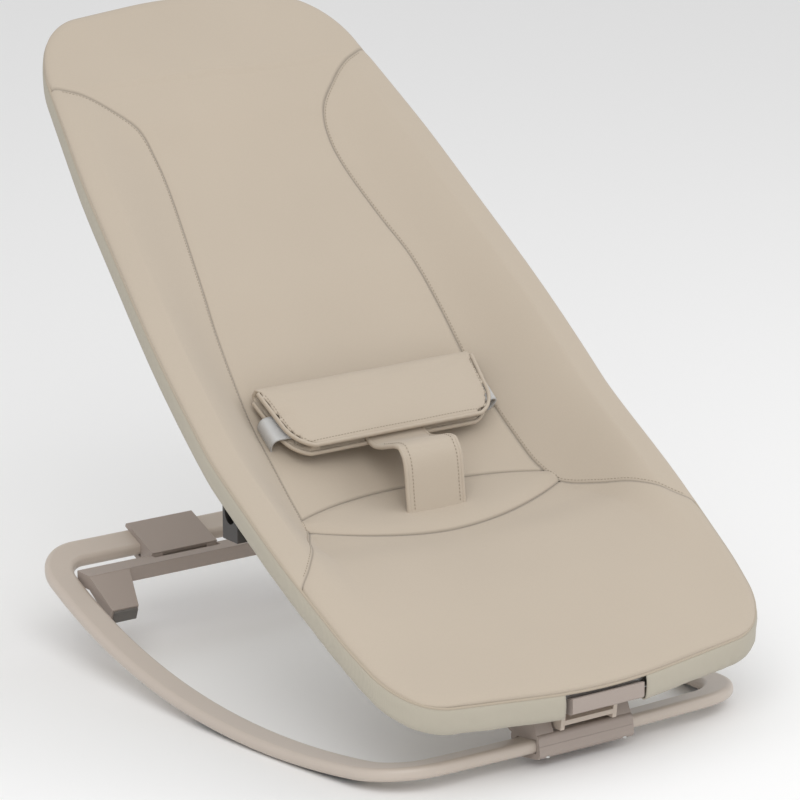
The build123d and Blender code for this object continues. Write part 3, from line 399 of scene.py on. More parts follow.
def simulate(made, cell, pressure, most, held):
    """Swells a closed soft form with cloth, keeps the held points still and limits how far any point goes."""
    bm = bmesh.new()
    evaluated = made.evaluated_get(bpy.context.evaluated_depsgraph_get())
    bm.from_mesh(evaluated.to_mesh())
    evaluated.to_mesh_clear()
    bmesh.ops.remove_doubles(bm, verts=bm.verts, dist=0.02 * MM)
    made.modifiers.clear()
    bm.to_mesh(made.data)
    bm.free()
    remesh = made.modifiers.new("Even mesh", "REMESH")
    remesh.mode = "VOXEL"
    remesh.voxel_size = cell
    bake(made)
    before = [v.co.copy() for v in made.data.vertices]
    group = made.vertex_groups.new(name="held")
    for vert in made.data.vertices:
        if held(vert.co):
            group.add([vert.index], 1.0, "REPLACE")
    cloth = made.modifiers.new("Cloth", "CLOTH")
    cloth.settings.quality = 5
    cloth.settings.mass = 0.3
    cloth.settings.tension_stiffness = 15
    cloth.settings.bending_stiffness = 0.5
    cloth.settings.use_pressure = True
    cloth.settings.uniform_pressure_force = pressure
    cloth.settings.vertex_group_mass = "held"
    cloth.settings.effector_weights.gravity = 0
    cloth.collision_settings.use_collision = False
    scene = bpy.context.scene
    for number in range(1, 21):
        scene.frame_set(number)
    bake(made)
    scene.frame_set(1)
    for vert, old in zip(made.data.vertices, before):
        moved = vert.co - old
        if moved.length > most:
            vert.co = old + moved * (most / moved.length)
    made.vertex_groups.clear()
    for face in made.data.polygons:
        face.use_smooth = True
    smooth = made.modifiers.new("Smooth", "SUBSURF")
    smooth.levels = 1
    smooth.render_levels = 1


def bake(made):
    """Applies a piece's modifiers to its mesh."""
    evaluated = made.evaluated_get(bpy.context.evaluated_depsgraph_get())
    fresh = bpy.data.meshes.new_from_object(evaluated)
    old = made.data
    finish = old.materials[0]
    made.modifiers.clear()
    made.data = fresh
    fresh.name = made.name
    fresh.materials.clear()
    fresh.materials.append(finish)
    bpy.data.meshes.remove(old)


# ---------------------------------------------------------------- finishes
class Number:
    """A shader output that sums can be written with."""

    def __init__(self, finish, socket):
        self.finish = finish
        self.socket = socket

    def maths(self, operation, first, second):
        node = self.finish.node("ShaderNodeMath", {"operation": operation}, {0: first, 1: second})
        return Number(self.finish, node.outputs[0])

    def __add__(self, other):
        return self.maths("ADD", self, other)

    def __sub__(self, other):
        return self.maths("SUBTRACT", self, other)

    def __rsub__(self, other):
        return self.maths("SUBTRACT", other, self)

    def __mul__(self, other):
        return self.maths("MULTIPLY", self, other)

    def __pow__(self, other):
        return self.maths("POWER", self, other)

    __radd__ = __add__
    __rmul__ = __mul__


class Finish:
    """One material, built from nodes."""

    def __init__(self, name, roughness, metallic=0.0, coat=0.0, sheen=0.0):
        self.material = bpy.data.materials.new(name)
        self.material.use_nodes = True
        self.tree = self.material.node_tree
        self.shader = self.tree.nodes["Principled BSDF"]
        self.shader.inputs["Roughness"].default_value = roughness
        self.shader.inputs["Metallic"].default_value = metallic
        self.shader.inputs["Coat Weight"].default_value = coat
        self.shader.inputs["Coat Roughness"].default_value = 0.35
        self.shader.inputs["Sheen Weight"].default_value = sheen
        self.shader.inputs["Sheen Roughness"].default_value = 0.6

    def node(self, kind, choices=None, inputs=None):
        made = self.tree.nodes.new(kind)
        for key, value in (choices or {}).items():
            setattr(made, key, value)
        for key, value in (inputs or {}).items():
            self.feed(made.inputs[key], value)
        return made

    def feed(self, socket, value):
        if isinstance(value, Number):
            value = value.socket
        if isinstance(value, bpy.types.NodeSocket):
            self.tree.links.new(value, socket)
        else:
            socket.default_value = value

    def place(self, uv=False):
        if uv:
            return self.node("ShaderNodeUVMap", {"uv_map": "UVMap"}).outputs[0]
        return self.node("ShaderNodeTexCoord").outputs["Object"]

    def grain(self, scale, detail=2.0, where=None, roughness=0.5):
        made = self.node("ShaderNodeTexNoise", {}, {"Vector": where or self.place(), "Scale": scale,
                                                    "Detail": detail, "Roughness": roughness})
        return Number(self, made.outputs[0])

    def wave(self, scale, direction, where):
        made = self.node("ShaderNodeTexWave", {"wave_type": "BANDS", "bands_direction": direction},
                         {"Vector": where, "Scale": scale, "Distortion": 0.4, "Detail": 1.0})
        return Number(self, made.outputs[1])

    def attribute(self, name):
        made = self.node("ShaderNodeAttribute", {"attribute_name": name})
        return Number(self, made.outputs["Fac"])

    def blend(self, share, first, second):
        made = self.node("ShaderNodeMix", {"data_type": "RGBA", "clamp_factor": True},
                         {0: share, 6: (*first, 1) if isinstance(first, tuple) else first,
                          7: (*second, 1) if isinstance(second, tuple) else second})
        return made.outputs[2]

    def colour(self, value):
        self.feed(self.shader.inputs["Base Color"], value)

    def bump(self, height, strength, depth):
        made = self.node("ShaderNodeBump", {}, {"Height": height, "Strength": strength, "Distance": depth})
        self.feed(self.shader.inputs["Normal"], made.outputs[0])


def shade(tone, share):
    return tuple(min(1.0, c * share) for c in tone)


def soft_fabric(name, tone, seams=True):
    """Smooth, dense knit with a fine grain. Painted shade darkens it along the seams, where the fabric dips into
    them.
    """
    made = Finish(name, 0.82, sheen=0.12)
    broad = made.grain(7, 3)
    fine = made.grain(850, 2)
    mottle = broad * 0.55 + fine * 0.45
    base = made.blend(mottle, shade(tone, 0.93), shade(tone, 1.07))
    # painted shade: the colour blends towards 58% of the tone along each seam, where the fabric dips into a crease
    if seams:
        base = made.blend(made.attribute("seam") * 0.6, base, shade(tone, 0.58))
    made.colour(base)
    made.bump(fine * 0.7 + made.grain(2400, 1) * 0.3, 0.22, 0.25 * MM)
    return made.material


def woven_fabric(name, tone):
    """Thin plain weave, with a crossed thread pattern."""
    made = Finish(name, 0.78, sheen=0.1)
    where = made.place()
    warp = made.wave(420, "X", where)
    weft = made.wave(420, "Z", where)
    cross = warp * weft
    base = made.blend(made.grain(9, 3) * 0.6 + cross * 0.4, shade(tone, 0.9), shade(tone, 1.08))
    made.colour(base)
    made.bump(cross + made.grain(60, 3) * 0.5, 0.25, 0.3 * MM)
    return made.material


def webbing_fabric(name, tone):
    made = Finish(name, 0.6, sheen=0.15)
    where = made.place(uv=True)
    rib = made.wave(330, "X", where)
    weave = made.wave(520, "Y", where)
    pattern = rib * 0.6 + weave * 0.4
    made.colour(made.blend(pattern, shade(tone, 0.78), shade(tone, 1.1)))
    made.bump(pattern, 0.5, 0.35 * MM)
    return made.material


def painted_tube(name, tone):
    made = Finish(name, 0.38, coat=0.25)
    peel = made.grain(320, 2)
    broad = made.grain(6, 2)
    made.colour(made.blend(broad, shade(tone, 0.96), shade(tone, 1.04)))
    made.feed(made.shader.inputs["Roughness"], 0.34 + broad * 0.1)
    made.bump(peel, 0.05, 0.12 * MM)
    return made.material


def moulded_plastic(name, tone, roughness=0.5):
    made = Finish(name, roughness)
    spark = made.grain(1500, 2)
    broad = made.grain(11, 3)
    made.colour(made.blend(broad * 0.7 + spark * 0.3, shade(tone, 0.93), shade(tone, 1.07)))
    made.feed(made.shader.inputs["Roughness"], roughness - 0.06 + broad * 0.14)
    made.bump(spark, 0.14, 0.15 * MM)
    return made.material


def plated_steel(name, tone, roughness):
    made = Finish(name, roughness, metallic=1.0)
    drawn = made.grain(240, 3)
    made.colour(made.blend(drawn, shade(tone, 0.85), shade(tone, 1.05)))
    made.feed(made.shader.inputs["Roughness"], roughness - 0.08 + drawn * 0.16)
    return made.material


def finishes():
    """Every finish, made once and then found by name."""
    tones = bpy.context.scene.bouncer_colours
    tone = {key: tuple(getattr(tones, key)) for key in
            ("cover", "band", "piping", "thread", "webbing", "tube", "plastic", "pale")}
    makers = {
        "cover_fabric": lambda n: soft_fabric(n, tone["cover"]),
        "harness_fabric": lambda n: soft_fabric(n, tone["cover"], seams=False),
        "piping_fabric": lambda n: soft_fabric(n, tone["piping"], seams=False),
        "band_fabric": lambda n: woven_fabric(n, tone["band"]),
        "thread": lambda n: moulded_plastic(n, tone["thread"], 0.7),
        "webbing": lambda n: webbing_fabric(n, tone["webbing"]),
        "painted_tube": lambda n: painted_tube(n, tone["tube"]),
        "taupe_plastic": lambda n: moulded_plastic(n, tone["plastic"], 0.5),
        "pale_plastic": lambda n: moulded_plastic(n, tone["pale"], 0.45),
        "black_plastic": lambda n: moulded_plastic(n, (0.055, 0.05, 0.047), 0.55),
        "buckle_plastic": lambda n: moulded_plastic(n, shade(tone["webbing"], 0.8), 0.4),
        "grip_rubber": lambda n: moulded_plastic(n, (0.14, 0.13, 0.12), 0.8),
        "inner_steel": lambda n: plated_steel(n, (0.5, 0.5, 0.5), 0.4),
        "screw_steel": lambda n: plated_steel(n, (0.6, 0.6, 0.58), 0.3),
    }
    return {name: bpy.data.materials.get("Bouncer " + name) or make("Bouncer " + name)
            for name, make in makers.items()}


# ---------------------------------------------------------------- cover panels
def seam_plan():
    """The right wing's seam, with its two ends on the seat's edge."""
    points = as_points([(x * MM, station_y(s)) for s, x in WING_SEAM])
    points[0] = OUTLINE[nearest(OUTLINE, points[0])]
    points[-1] = OUTLINE[nearest(OUTLINE, points[-1])]
    return spline(points, 320)


SEAM = seam_plan()
PAN_Y = station_y(-0.127)
PAN_HALF = 132 * MM


def pan_front():
    x = np.linspace(-1, 1, 80)
    return np.stack([x * PAN_HALF, PAN_Y - 29 * MM * (1 - x * x)], axis=1)


def pan_back():
    x = np.linspace(-1, 1, 80)
    return np.stack([x * (PAN_HALF - 5 * MM), PAN_Y + 17 * MM + 25 * MM * (1 - x * x)], axis=1)


def corner_of(outline, end):
    """The point on the seat's edge in the middle of a rounded corner, on the right."""
    right = outline[outline[:, 0] > 0]
    return right[np.argmax(right[:, 0] * 0.7 + right[:, 1] * end)]


def dress(points, borders, rise=0.0):
    """Plan points to padded fabric: height, dipped seams and the rolled outer edge, and the mask of painted shade
    along the seams.
    """
    cover, _ = settings()
    z = seat_height(points[:, 0], points[:, 1])
    to_seam = np.min([distance_to(points, line) for line in borders], axis=0)
    to_edge = distance_to(points, np.vstack([OUTLINE, OUTLINE[:1]]))
    dip = np.exp(-(to_seam / cover.pinch_reach) ** 1.3)
    reach = np.clip(to_edge / cover.edge_reach, 0, 1)
    z = z - cover.pinch * dip + rise * (1 - np.exp(-to_seam / (6 * MM)))
    z = z - cover.edge_roll * (1 - np.sqrt(1 - (1 - reach) ** 2)) + unevenness(points, cover.slack) * reach
    # The second value is the painted seam shade mask: 1 on a seam, fading out within about a millimetre.
    return z, np.exp(-(to_seam / SEAM_SHADE_WIDTH) ** 2)


def panel(name, columns, rows, plan, borders, node, rise=0.0):
    """One fabric panel from its plan net."""
    cover, _ = settings()
    painted_shade = {}

    def place(u, v):
        flat = plan(u, v)
        # keeps the painted seam shade mask for the vertices
        z, seam_shade_mask = dress(flat, borders, rise)
        painted_shade["seam"] = seam_shade_mask
        return np.column_stack([flat, z])

    bm = sheet_mesh(columns, rows, place)
    add_painted_seam_shade(bm, painted_shade["seam"])
    bmesh.ops.remove_doubles(bm, verts=bm.verts, dist=0.02 * MM)
    up_facing(bm)
    SKINS.append(BVHTree.FromBMesh(bm))
    made = piece(name, bm, finishes()["cover_fabric"], "seat", [node],
                 thick=cover.thick)
    return made


SKINS = []


def skin_point(x, y, above=0.0):
    """A point on the finished cover at x and y."""
    best = None
    for tree in SKINS:
        hit = tree.ray_cast(Vector((x, y, 1)), Vector((0, 0, -1)))[0]
        if hit is not None and (best is None or hit.z > best.z):
            best = hit
    if best is None:
        raise RuntimeError(f"no cover under {x:.3f}, {y:.3f}")
    return best + Vector((0, 0, above))


class BOUNCER_OT_panels(bpy.types.Operator):
    """Footrest, backrest, two wings and the half-moon seat pan"""
    bl_idname = "bouncer.panels"
    bl_label = "Cover panels"

    def execute(self, context):
        cover, _ = settings()
        left_seam = mirrored(SEAM)
        foot = corner_of(OUTLINE, -1.0)
        head = corner_of(OUTLINE, 1.0)
        low = SEAM[0]
        pan_end = nearest(SEAM, (PAN_HALF, PAN_Y))
        back_end = nearest(SEAM, (PAN_HALF - 5 * MM, PAN_Y + 17 * MM))
        front, back = pan_front(), pan_back()
        # footrest: its rear edge is both wing ends and the front of the seat pan
        rear = evenly(np.vstack([left_seam[:pan_end], front, SEAM[:pan_end][::-1]]), 400)
        sides = stretch(OUTLINE, foot, low)
        end = stretch(OUTLINE, foot * (-1, 1), foot)
        net = between(along(end), along(rear), along(mirrored(sides)), along(sides))
        panel("footrest", 110, 80, net, [left_seam, SEAM, front], "footrest_panel")
        # backrest: up between the seams and round the head end
        near = evenly(np.vstack([left_seam[back_end:back_end + 1], back, SEAM[back_end:back_end + 1]]), 160)
        side = evenly(np.vstack([SEAM[back_end:], stretch(OUTLINE, SEAM[-1], head)[1:]]), 500)
        far = stretch(OUTLINE, head, head * (-1, 1))[::-1]
        net = between(along(near), along(far), along(mirrored(side)), along(side))
        panel("backrest", 90, 150, net, [left_seam, SEAM, back], "backrest_panel")
        # wings: between a seam and the edge
        edge = stretch(OUTLINE, SEAM[0], SEAM[-1], 400)
        for name, sign in (("wing_panel_right", 1), ("wing_panel_left", -1)):
            scale = np.array([sign, 1])
            start, end = SEAM[0] * scale, SEAM[-1] * scale
            net = between(lambda u, p=start: np.tile(p, (len(u), 1)), lambda u, p=end: np.tile(p, (len(u), 1)),
                          along(SEAM * scale), along(edge * scale))
            panel(name, 48, 200, net, [SEAM * scale], "wing_right" if sign > 0 else "wing_left")
        # seat pan: a half moon that stands a little proud
        ends = as_points([front[-1], (PAN_HALF + 3 * MM, PAN_Y + 9 * MM), back[-1]])
        right = spline(ends, 40)
        net = between(along(front), along(back), along(mirrored(right)), along(right))
        border = [front, back, right, mirrored(right)]
        panel("seat_pan", 100, 26, net, border, "seat_pan_insert", rise=cover.pan_rise)
        return {"FINISHED"}


# ---------------------------------------------------------------- side band, piping, underside
def inset(ring, distance):
    """The seat's edge moved inwards."""
    ahead = np.roll(ring, -1, axis=0) - np.roll(ring, 1, axis=0)
    ahead /= np.linalg.norm(ahead, axis=1, keepdims=True)
    return ring + distance * np.column_stack([-ahead[:, 1], ahead[:, 0]])


class BOUNCER_OT_band(bpy.types.Operator):
    """Thin fabric band round the seat's edge, with the rolled piping above it"""
    bl_idname = "bouncer.band"
    bl_label = "Side band and piping"

    def execute(self, context):
        cover, _ = settings()
        foot_y = OUTLINE[:, 1].min()
        run = stretch(OUTLINE, (CUT_OUT_HALF, foot_y), (-CUT_OUT_HALF, foot_y), 700)
        profile = spline([(0.3, 9.3), (-0.7, 5), (-0.6, -2), (0.2, -7), (3.0, -11), (8.5, -12.6), (13, -12.2)], 60)
        profile = along(profile * MM)
        inward = run - inset_run(run)

        def place(u, v):
            k = np.rint(u * (len(run) - 1)).astype(int)
            level = profile(v)
            spot = run[k] - inward[k] * level[:, :1] / MM
            crumple = as_points([noise.noise(Vector((s * 60, w * 2.0, 5.0))) + 0.6 * noise.noise(
                Vector((s * 140, w * 4.0, 1.0))) for s, w in zip(u * 1.9, v)])
            loose = np.clip((KNEE[0] - spot[:, 1]) / (160 * MM), 0.1, 1) * np.sin(np.clip(v * 1.25, 0, 1) * math.pi)
            spot = spot + inward[k] * (crumple * loose * cover.wrinkle / MM)[:, None]
            height = edge_height(spot[:, 1]) + level[:, 1] * lift(spot[:, 1])
            return np.column_stack([spot, height])

        bm = sheet_mesh(700, 14, place)
        bmesh.ops.recalc_face_normals(bm, faces=bm.faces)
        made = piece("side_band", bm, finishes()["band_fabric"], "seat", ["cover_side_band"],
                     thick=1.0 * MM, offset=0)
        ring = inset(OUTLINE, 0.6 * MM)[::2]
        level = edge_height(ring[:, 1]) + 9.2 * MM * lift(ring[:, 1])
        bm = roll_mesh(np.column_stack([ring, level]), cover.piping, closed=True)
        piece("edge_piping", bm, finishes()["piping_fabric"], "seat", ["cover_piping"])
        return {"FINISHED"}


def inset_run(run):
    """An open stretch of the edge moved inwards by a millimetre."""
    ahead = np.gradient(run, axis=0)
    ahead /= np.linalg.norm(ahead, axis=1, keepdims=True)
    return run + MM * np.column_stack([-ahead[:, 1], ahead[:, 0]])


class BOUNCER_OT_underside(bpy.types.Operator):
    """Sheet under the seat, open where the bracket and the saddles pass"""
    bl_idname = "bouncer.underside"
    bl_label = "Underside"

    def execute(self, context):
        ring = inset(OUTLINE, 12 * MM)
        foot, head = corner_of(ring, -1.0), corner_of(ring, 1.0)
        side = stretch(ring, foot, head, 300)
        net = between(along(stretch(ring, foot * (-1, 1), foot)), along(stretch(ring, head, head * (-1, 1))[::-1]),
                      along(mirrored(side)), along(side))

        def place(u, v):
            flat = net(u, v)
            top = seat_height(flat[:, 0], flat[:, 1]) - 13 * MM
            frame_low = edge_height(flat[:, 1]) - (TUBE_R + 2.6 * MM) * lift(flat[:, 1])
            gap = top - frame_low
            ease = 8 * MM
            low = 0.5 * (top + frame_low - np.sqrt(gap * gap + ease * ease)) + 0.3 * ease
            low = np.minimum(low, frame_low + 2 * MM) + unevenness(flat, 1.2 * MM)
            return np.column_stack([flat, low])

        bm = sheet_mesh(90, 140, place)
        up_facing(bm)
        bmesh.ops.reverse_faces(bm, faces=bm.faces)
        openings = [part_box("cross_saddle_right"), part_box("cross_saddle_left"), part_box("seat_bracket_upper")]
        away = [f for f in bm.faces if any(inside(f.calc_center_median(), box, 3 * MM) for box in openings)]
        bmesh.ops.delete(bm, geom=away, context="FACES")
        made = piece("underside", bm, finishes()["band_fabric"], "seat", ["cover_underside"],
                     thick=1.2 * MM, offset=0)
        return {"FINISHED"}


def inside(point, box, margin):
    low, high = box
    return all(low[k] - margin < point[k] < high[k] + margin for k in (0, 1))


# ---------------------------------------------------------------- harness
def pad_spot(x, y, n):
    """From the belt pad's own axes (across, up the pad, out of it) to the seat."""
    up = Vector((0, math.cos(PAD_TILT), math.sin(PAD_TILT)))
    out = Vector((0, -math.sin(PAD_TILT), math.cos(PAD_TILT)))
    return PAD_CENTRE + Vector((x, 0, 0)) + up * y + out * n


def pad_spots(x, y, n):
    up = np.array([0, math.cos(PAD_TILT), math.sin(PAD_TILT)])
    out = np.array([0, -math.sin(PAD_TILT), math.cos(PAD_TILT)])
    base = np.array(PAD_CENTRE)
    return base + np.outer(x, [1, 0, 0]) + np.outer(y, up) + np.outer(n, out)


def pad_half_width(y, harness):
    """Half width of a leaf at y, with its rounded lower corners."""
    half = harness.pad_length / 2
    share = (y + half) / harness.pad_length
    wide = (harness.pad_lower_width + (harness.pad_width - harness.pad_lower_width) * share) / 2
    near = np.clip((harness.corner - (y + half)) / harness.corner, 0, 1)
    return wide - harness.corner * (1 - np.sqrt(1 - near ** 2))


def leaf_line(harness):
    """Side view of the folded pad's middle: up the front leaf, over the fold and down the back."""
    half = harness.pad_length / 2
    fold = 6 * MM
    turn = np.linspace(0, math.pi, 16)
    arc = np.column_stack([half - fold - 2 * MM + fold * np.sin(turn), -3 * MM - fold + fold * np.cos(turn)])
    rise = np.linspace(-half + 1.5 * MM, half - fold - 2.5 * MM, 24)
    front = np.column_stack([rise, np.full(24, -3 * MM)])
    back = np.column_stack([rise[::-1], np.full(24, -3 * MM - 2 * fold)])
    return evenly(np.vstack([front, arc, back]), 240)


class BOUNCER_OT_belt_pad(bpy.types.Operator):
    """Folded belt pad with bound edges"""
    bl_idname = "bouncer.belt_pad"
    bl_label = "Belt pad"

    def execute(self, context):
        _, harness = settings()
        line = along(leaf_line(harness))
        half = harness.pad_length / 2

        def place(u, v):
            yn = line(v)
            wide = pad_half_width(yn[:, 0], harness)
            x = (2 * u - 1) * wide
            front = soft_step((0.52 - v) / 0.1)
            swell = (1 - (x / (harness.pad_width / 2)) ** 2) * np.clip(1 - (yn[:, 0] / half) ** 4, 0, 1)
            n = yn[:, 1] + front * harness.crown * 0.5 * swell
            n = n + noise_row(x, yn[:, 0]) * 0.9 * MM * front
            return pad_spots(x, yn[:, 0], n)

        bm = sheet_mesh(96, 76, place)
        bmesh.ops.recalc_face_normals(bm, faces=bm.faces)
        made = piece("belt_pad_cover", bm, finishes()["harness_fabric"], "seat", ["belt_pad"],
                     thick=harness.leaf * 0.62, offset=0)
        low = -half + 5 * MM
        simulate(made, 4 * MM, 3.0, 3 * MM, lambda co: pad_local(co)[1] < low or pad_local(co)[2] < -8 * MM)
        bind = bmesh.new()
        for path in pad_edges(harness):
            merge_into(bind, roll_mesh(path, harness.binding, up=(0.02, -0.6, 0.8), flat=1.3))
        piece("belt_pad_binding", bind, finishes()["harness_fabric"], "seat")
        return {"FINISHED"}


def noise_row(x, y):
    return np.array([noise.noise(Vector((a * 22, b * 22, 9.0))) for a, b in zip(x, y)])


def pad_local(point):
    away = Vector(point) - PAD_CENTRE
    up = Vector((0, math.cos(PAD_TILT), math.sin(PAD_TILT)))
    out = Vector((0, -math.sin(PAD_TILT), math.cos(PAD_TILT)))
    return away.x, away.dot(up), away.dot(out)


def leaf_edge(harness, n, top):
    """Round one leaf's free edge: down one side, along the bottom and up the other."""
    half = harness.pad_length / 2
    y = np.linspace(top, -half + 1.5 * MM, 60)
    side = np.column_stack([pad_half_width(y, harness), y])
    bottom = np.column_stack([np.linspace(side[-1, 0], -side[-1, 0], 60), np.full(60, y[-1])])
    plan = evenly(np.vstack([side, bottom[1:-1], mirrored(side)[::-1]]), 260)
    return pad_spots(plan[:, 0], plan[:, 1], np.full(len(plan), n))


def pad_edges(harness):
    half = harness.pad_length / 2
    return [leaf_edge(harness, -3 * MM, half - 8 * MM), leaf_edge(harness, -15 * MM, half - 8 * MM)]


def strap_line():
    """Side view of the crotch strap: y and z, from the slot to inside the pad."""
    mouth = pad_spot(0, -42 * MM, -9.4 * MM)
    inner = pad_spot(0, -14 * MM, -9.4 * MM)
    base_y = STRAP_FOOT_Y
    base_z = skin_point(0, base_y).z - 1.5 * MM
    fold_z = mouth.z + 3.5 * MM
    points = [(base_y, base_z), (base_y + 2 * MM, base_z + 16 * MM), (base_y + 5 * MM, fold_z - 12 * MM),
              (base_y + 10 * MM, fold_z - 1 * MM), (base_y + 19 * MM, fold_z + 3.2 * MM),
              (mouth.y, mouth.z), (inner.y, inner.z)]
    return spline(points, 160)


class BOUNCER_OT_crotch_strap(bpy.types.Operator):
    """Padded crotch strap with bound edges"""
    bl_idname = "bouncer.crotch_strap"
    bl_label = "Crotch strap"

    def execute(self, context):
        _, harness = settings()
        line = strap_line()
        half = harness.strap / 2 - harness.binding
        path = np.column_stack([np.zeros(len(line)), line])
        ahead, side, above = frames_along(path, (1, 0, 0))
        thick = harness.strap_thick / 2

        def place(u, v):
            k = np.rint(v * (len(path) - 1)).astype(int)
            turn = u * 2 * math.pi
            x = half * np.sign(np.cos(turn)) * np.abs(np.cos(turn)) ** 0.35
            bulge = thick * np.sign(np.sin(turn)) * np.abs(np.sin(turn)) ** 0.6
            return path[k] + np.outer(x, [1, 0, 0]) + bulge[:, None] * side[k]

        bm = sheet_mesh(64, 159, place, close=True)
        bmesh.ops.holes_fill(bm, edges=[e for e in bm.edges if e.is_boundary], sides=0)
        bmesh.ops.recalc_face_normals(bm, faces=bm.faces)
        made = piece("crotch_strap_cover", bm, finishes()["harness_fabric"], "seat", ["crotch_strap"])
        bind = bmesh.new()
        for sign in (-1, 1):
            edge = path + np.array([sign * (half + 0.4 * MM), 0, 0])
            merge_into(bind, roll_mesh(edge, harness.binding * 1.2, up=(1, 0, 0), flat=1.0))
        piece("crotch_strap_binding", bind, finishes()["harness_fabric"], "seat")
        return {"FINISHED"}


class BOUNCER_OT_webbing(bpy.types.Operator):
    """Webbing that comes out of each end of the belt pad and goes into the wing seams"""
    bl_idname = "bouncer.webbing"
    bl_label = "Side webbing"

    def execute(self, context):
        _, harness = settings()
        half = 12.5 * MM
        for name, sign in (("belt_tail_right", 1), ("belt_tail_left", -1)):
            node = "side_webbing_right" if sign > 0 else "side_webbing_left"
            end = harness.pad_width / 2
            points = [(end - 24 * MM, -9.5 * MM), (end - 8 * MM, -9.3 * MM), (end + 0.5 * MM, -9.6 * MM),
                      (end + 3.6 * MM, -13 * MM), (end + 3.2 * MM, -20 * MM), (end + 0 * MM, -27 * MM)]
            line = along(spline(points, 80))

            def place(u, v):
                xn = line(v)
                return pad_spots(sign * xn[:, 0], -6 * MM + (2 * u - 1) * half, xn[:, 1])

            bm = sheet_mesh(12, 60, place)
            bmesh.ops.recalc_face_normals(bm, faces=bm.faces)
            piece(name, bm, finishes()["webbing"], "seat", [node], thick=1.5 * MM, offset=0)
        return {"FINISHED"}


# ---------------------------------------------------------------- stitches
def stitch_row(bm, path, ups, harness):
    """A row of stitches along close points, each lying on the surface."""
    steps = np.concatenate([[0], np.cumsum(np.linalg.norm(np.diff(path, axis=0), axis=1))])
    for at in np.arange(harness.stitch_step / 2, steps[-1], harness.stitch_step):
        spot = Vector([np.interp(at, steps, path[:, k]) for k in range(3)])
        ahead = Vector([np.interp(at + 0.4 * MM, steps, path[:, k]) for k in range(3)]) - spot
        if ahead.length < 1e-7:
            continue
        ahead.normalize()
        up = Vector([np.interp(at, steps, ups[:, k]) for k in range(3)]).normalized()
        side = up.cross(ahead).normalized()
        up = ahead.cross(side)
        turn = Matrix((ahead, side, up)).transposed().to_4x4()
        shape = Matrix.Diagonal((harness.stitch / 2, 0.42 * MM, 0.34 * MM, 1))
        bmesh.ops.create_uvsphere(bm, u_segments=6, v_segments=4, radius=1,
                                  matrix=Matrix.Translation(spot) @ turn @ shape)


def on_skin(plan, above):
    return as_points([skin_point(x, y, above) for x, y in plan])


class BOUNCER_OT_stitches(bpy.types.Operator):
    """Sewing along the seams, the belt pad and the crotch strap"""
    bl_idname = "bouncer.stitches"
    bl_label = "Stitches"

    def execute(self, context):
        _, harness = settings()
        cover = bmesh.new()
        upward = np.array([0, -0.55, 0.83])
        inner = inset_run(SEAM[::-1])
        shift = (inner - SEAM[::-1]) * 1.9
        line = (SEAM[::-1] + shift)[6:-6:2]
        for side in (line, mirrored(line)):
            path = on_skin(side, 0.1 * MM)
            stitch_row(cover, path, np.tile(upward, (len(path), 1)), harness)
        piece("cover_stitches", cover, finishes()["thread"], "seat")
        pads = bmesh.new()
        half = harness.pad_length / 2
        y = np.linspace(half - 12 * MM, -half + 5.6 * MM, 50)
        edge = np.column_stack([pad_half_width(y, harness) - 4.4 * MM, y])
        low = np.column_stack([np.linspace(edge[-1, 0], -edge[-1, 0], 60), np.full(60, y[-1])])
        plan = evenly(np.vstack([edge, low[1:-1], mirrored(edge)[::-1]]), 240)
        pad = bpy.data.objects["belt_pad_cover"]
        evaluated = pad.evaluated_get(context.evaluated_depsgraph_get())
        tree = BVHTree.FromPolygons([v.co for v in evaluated.data.vertices],
                                    [tuple(p.vertices) for p in evaluated.data.polygons])
        out = pad_spot(0, 0, 1) - pad_spot(0, 0, 0)
        path = []
        for x, y_at in plan:
            hit = tree.ray_cast(pad_spot(x, y_at, 0.05), -out)[0]
            if hit is not None:
                path.append(hit + out * 0.1 * MM)
        stitch_row(pads, as_points(path), np.tile(as_points(out), (len(path), 1)), harness)
        line = strap_line()
        line = line[4:int(len(line) * 0.72)]
        path = np.column_stack([np.zeros(len(line)), line])
        ahead, side, above = frames_along(path, (1, 0, 0))
        if side[0][1] > 0:
            side = -side
        for sign in (-1, 1):
            row = path + np.array([sign * (harness.strap / 2 - 6.2 * MM), 0, 0]) + side * (harness.strap_thick * 0.5)
            stitch_row(pads, row, side, harness)
        piece("harness_stitches", pads, finishes()["thread"], "seat")
        return {"FINISHED"}


# ---------------------------------------------------------------- CAD nodes
class BOUNCER_OT_finishes(bpy.types.Operator):
    """Gives every carried-over node its finish"""
    bl_idname = "bouncer.finishes"
    bl_label = "Finishes"

    def execute(self, context):
        made = finishes()
        slots = {row["node"]: row["material_slot"] for row in frame["record"]["subparts"]}
        for name, node in frame["nodes"].items():
            finish = made[slots[name]]
            node.data.materials.clear()
            node.data.materials.append(finish)
        for name in ("kickstand", "kickstand_pads"):
            rounded(frame["nodes"][name], 1.8 * MM if name == "kickstand" else 0.8 * MM)
        return {"FINISHED"}


def rounded(node, width):
    """Joins the node's loose triangles and rounds its edges with modifiers, so its own mesh stays as it is."""
    join = node.modifiers.new("Join", "WELD")
    join.merge_threshold = 0.01 * MM
    soft = node.modifiers.new("Soft edge", "BEVEL")
    soft.width = width
    soft.segments = 3
    soft.limit_method = "ANGLE"
    soft.angle_limit = math.radians(40)


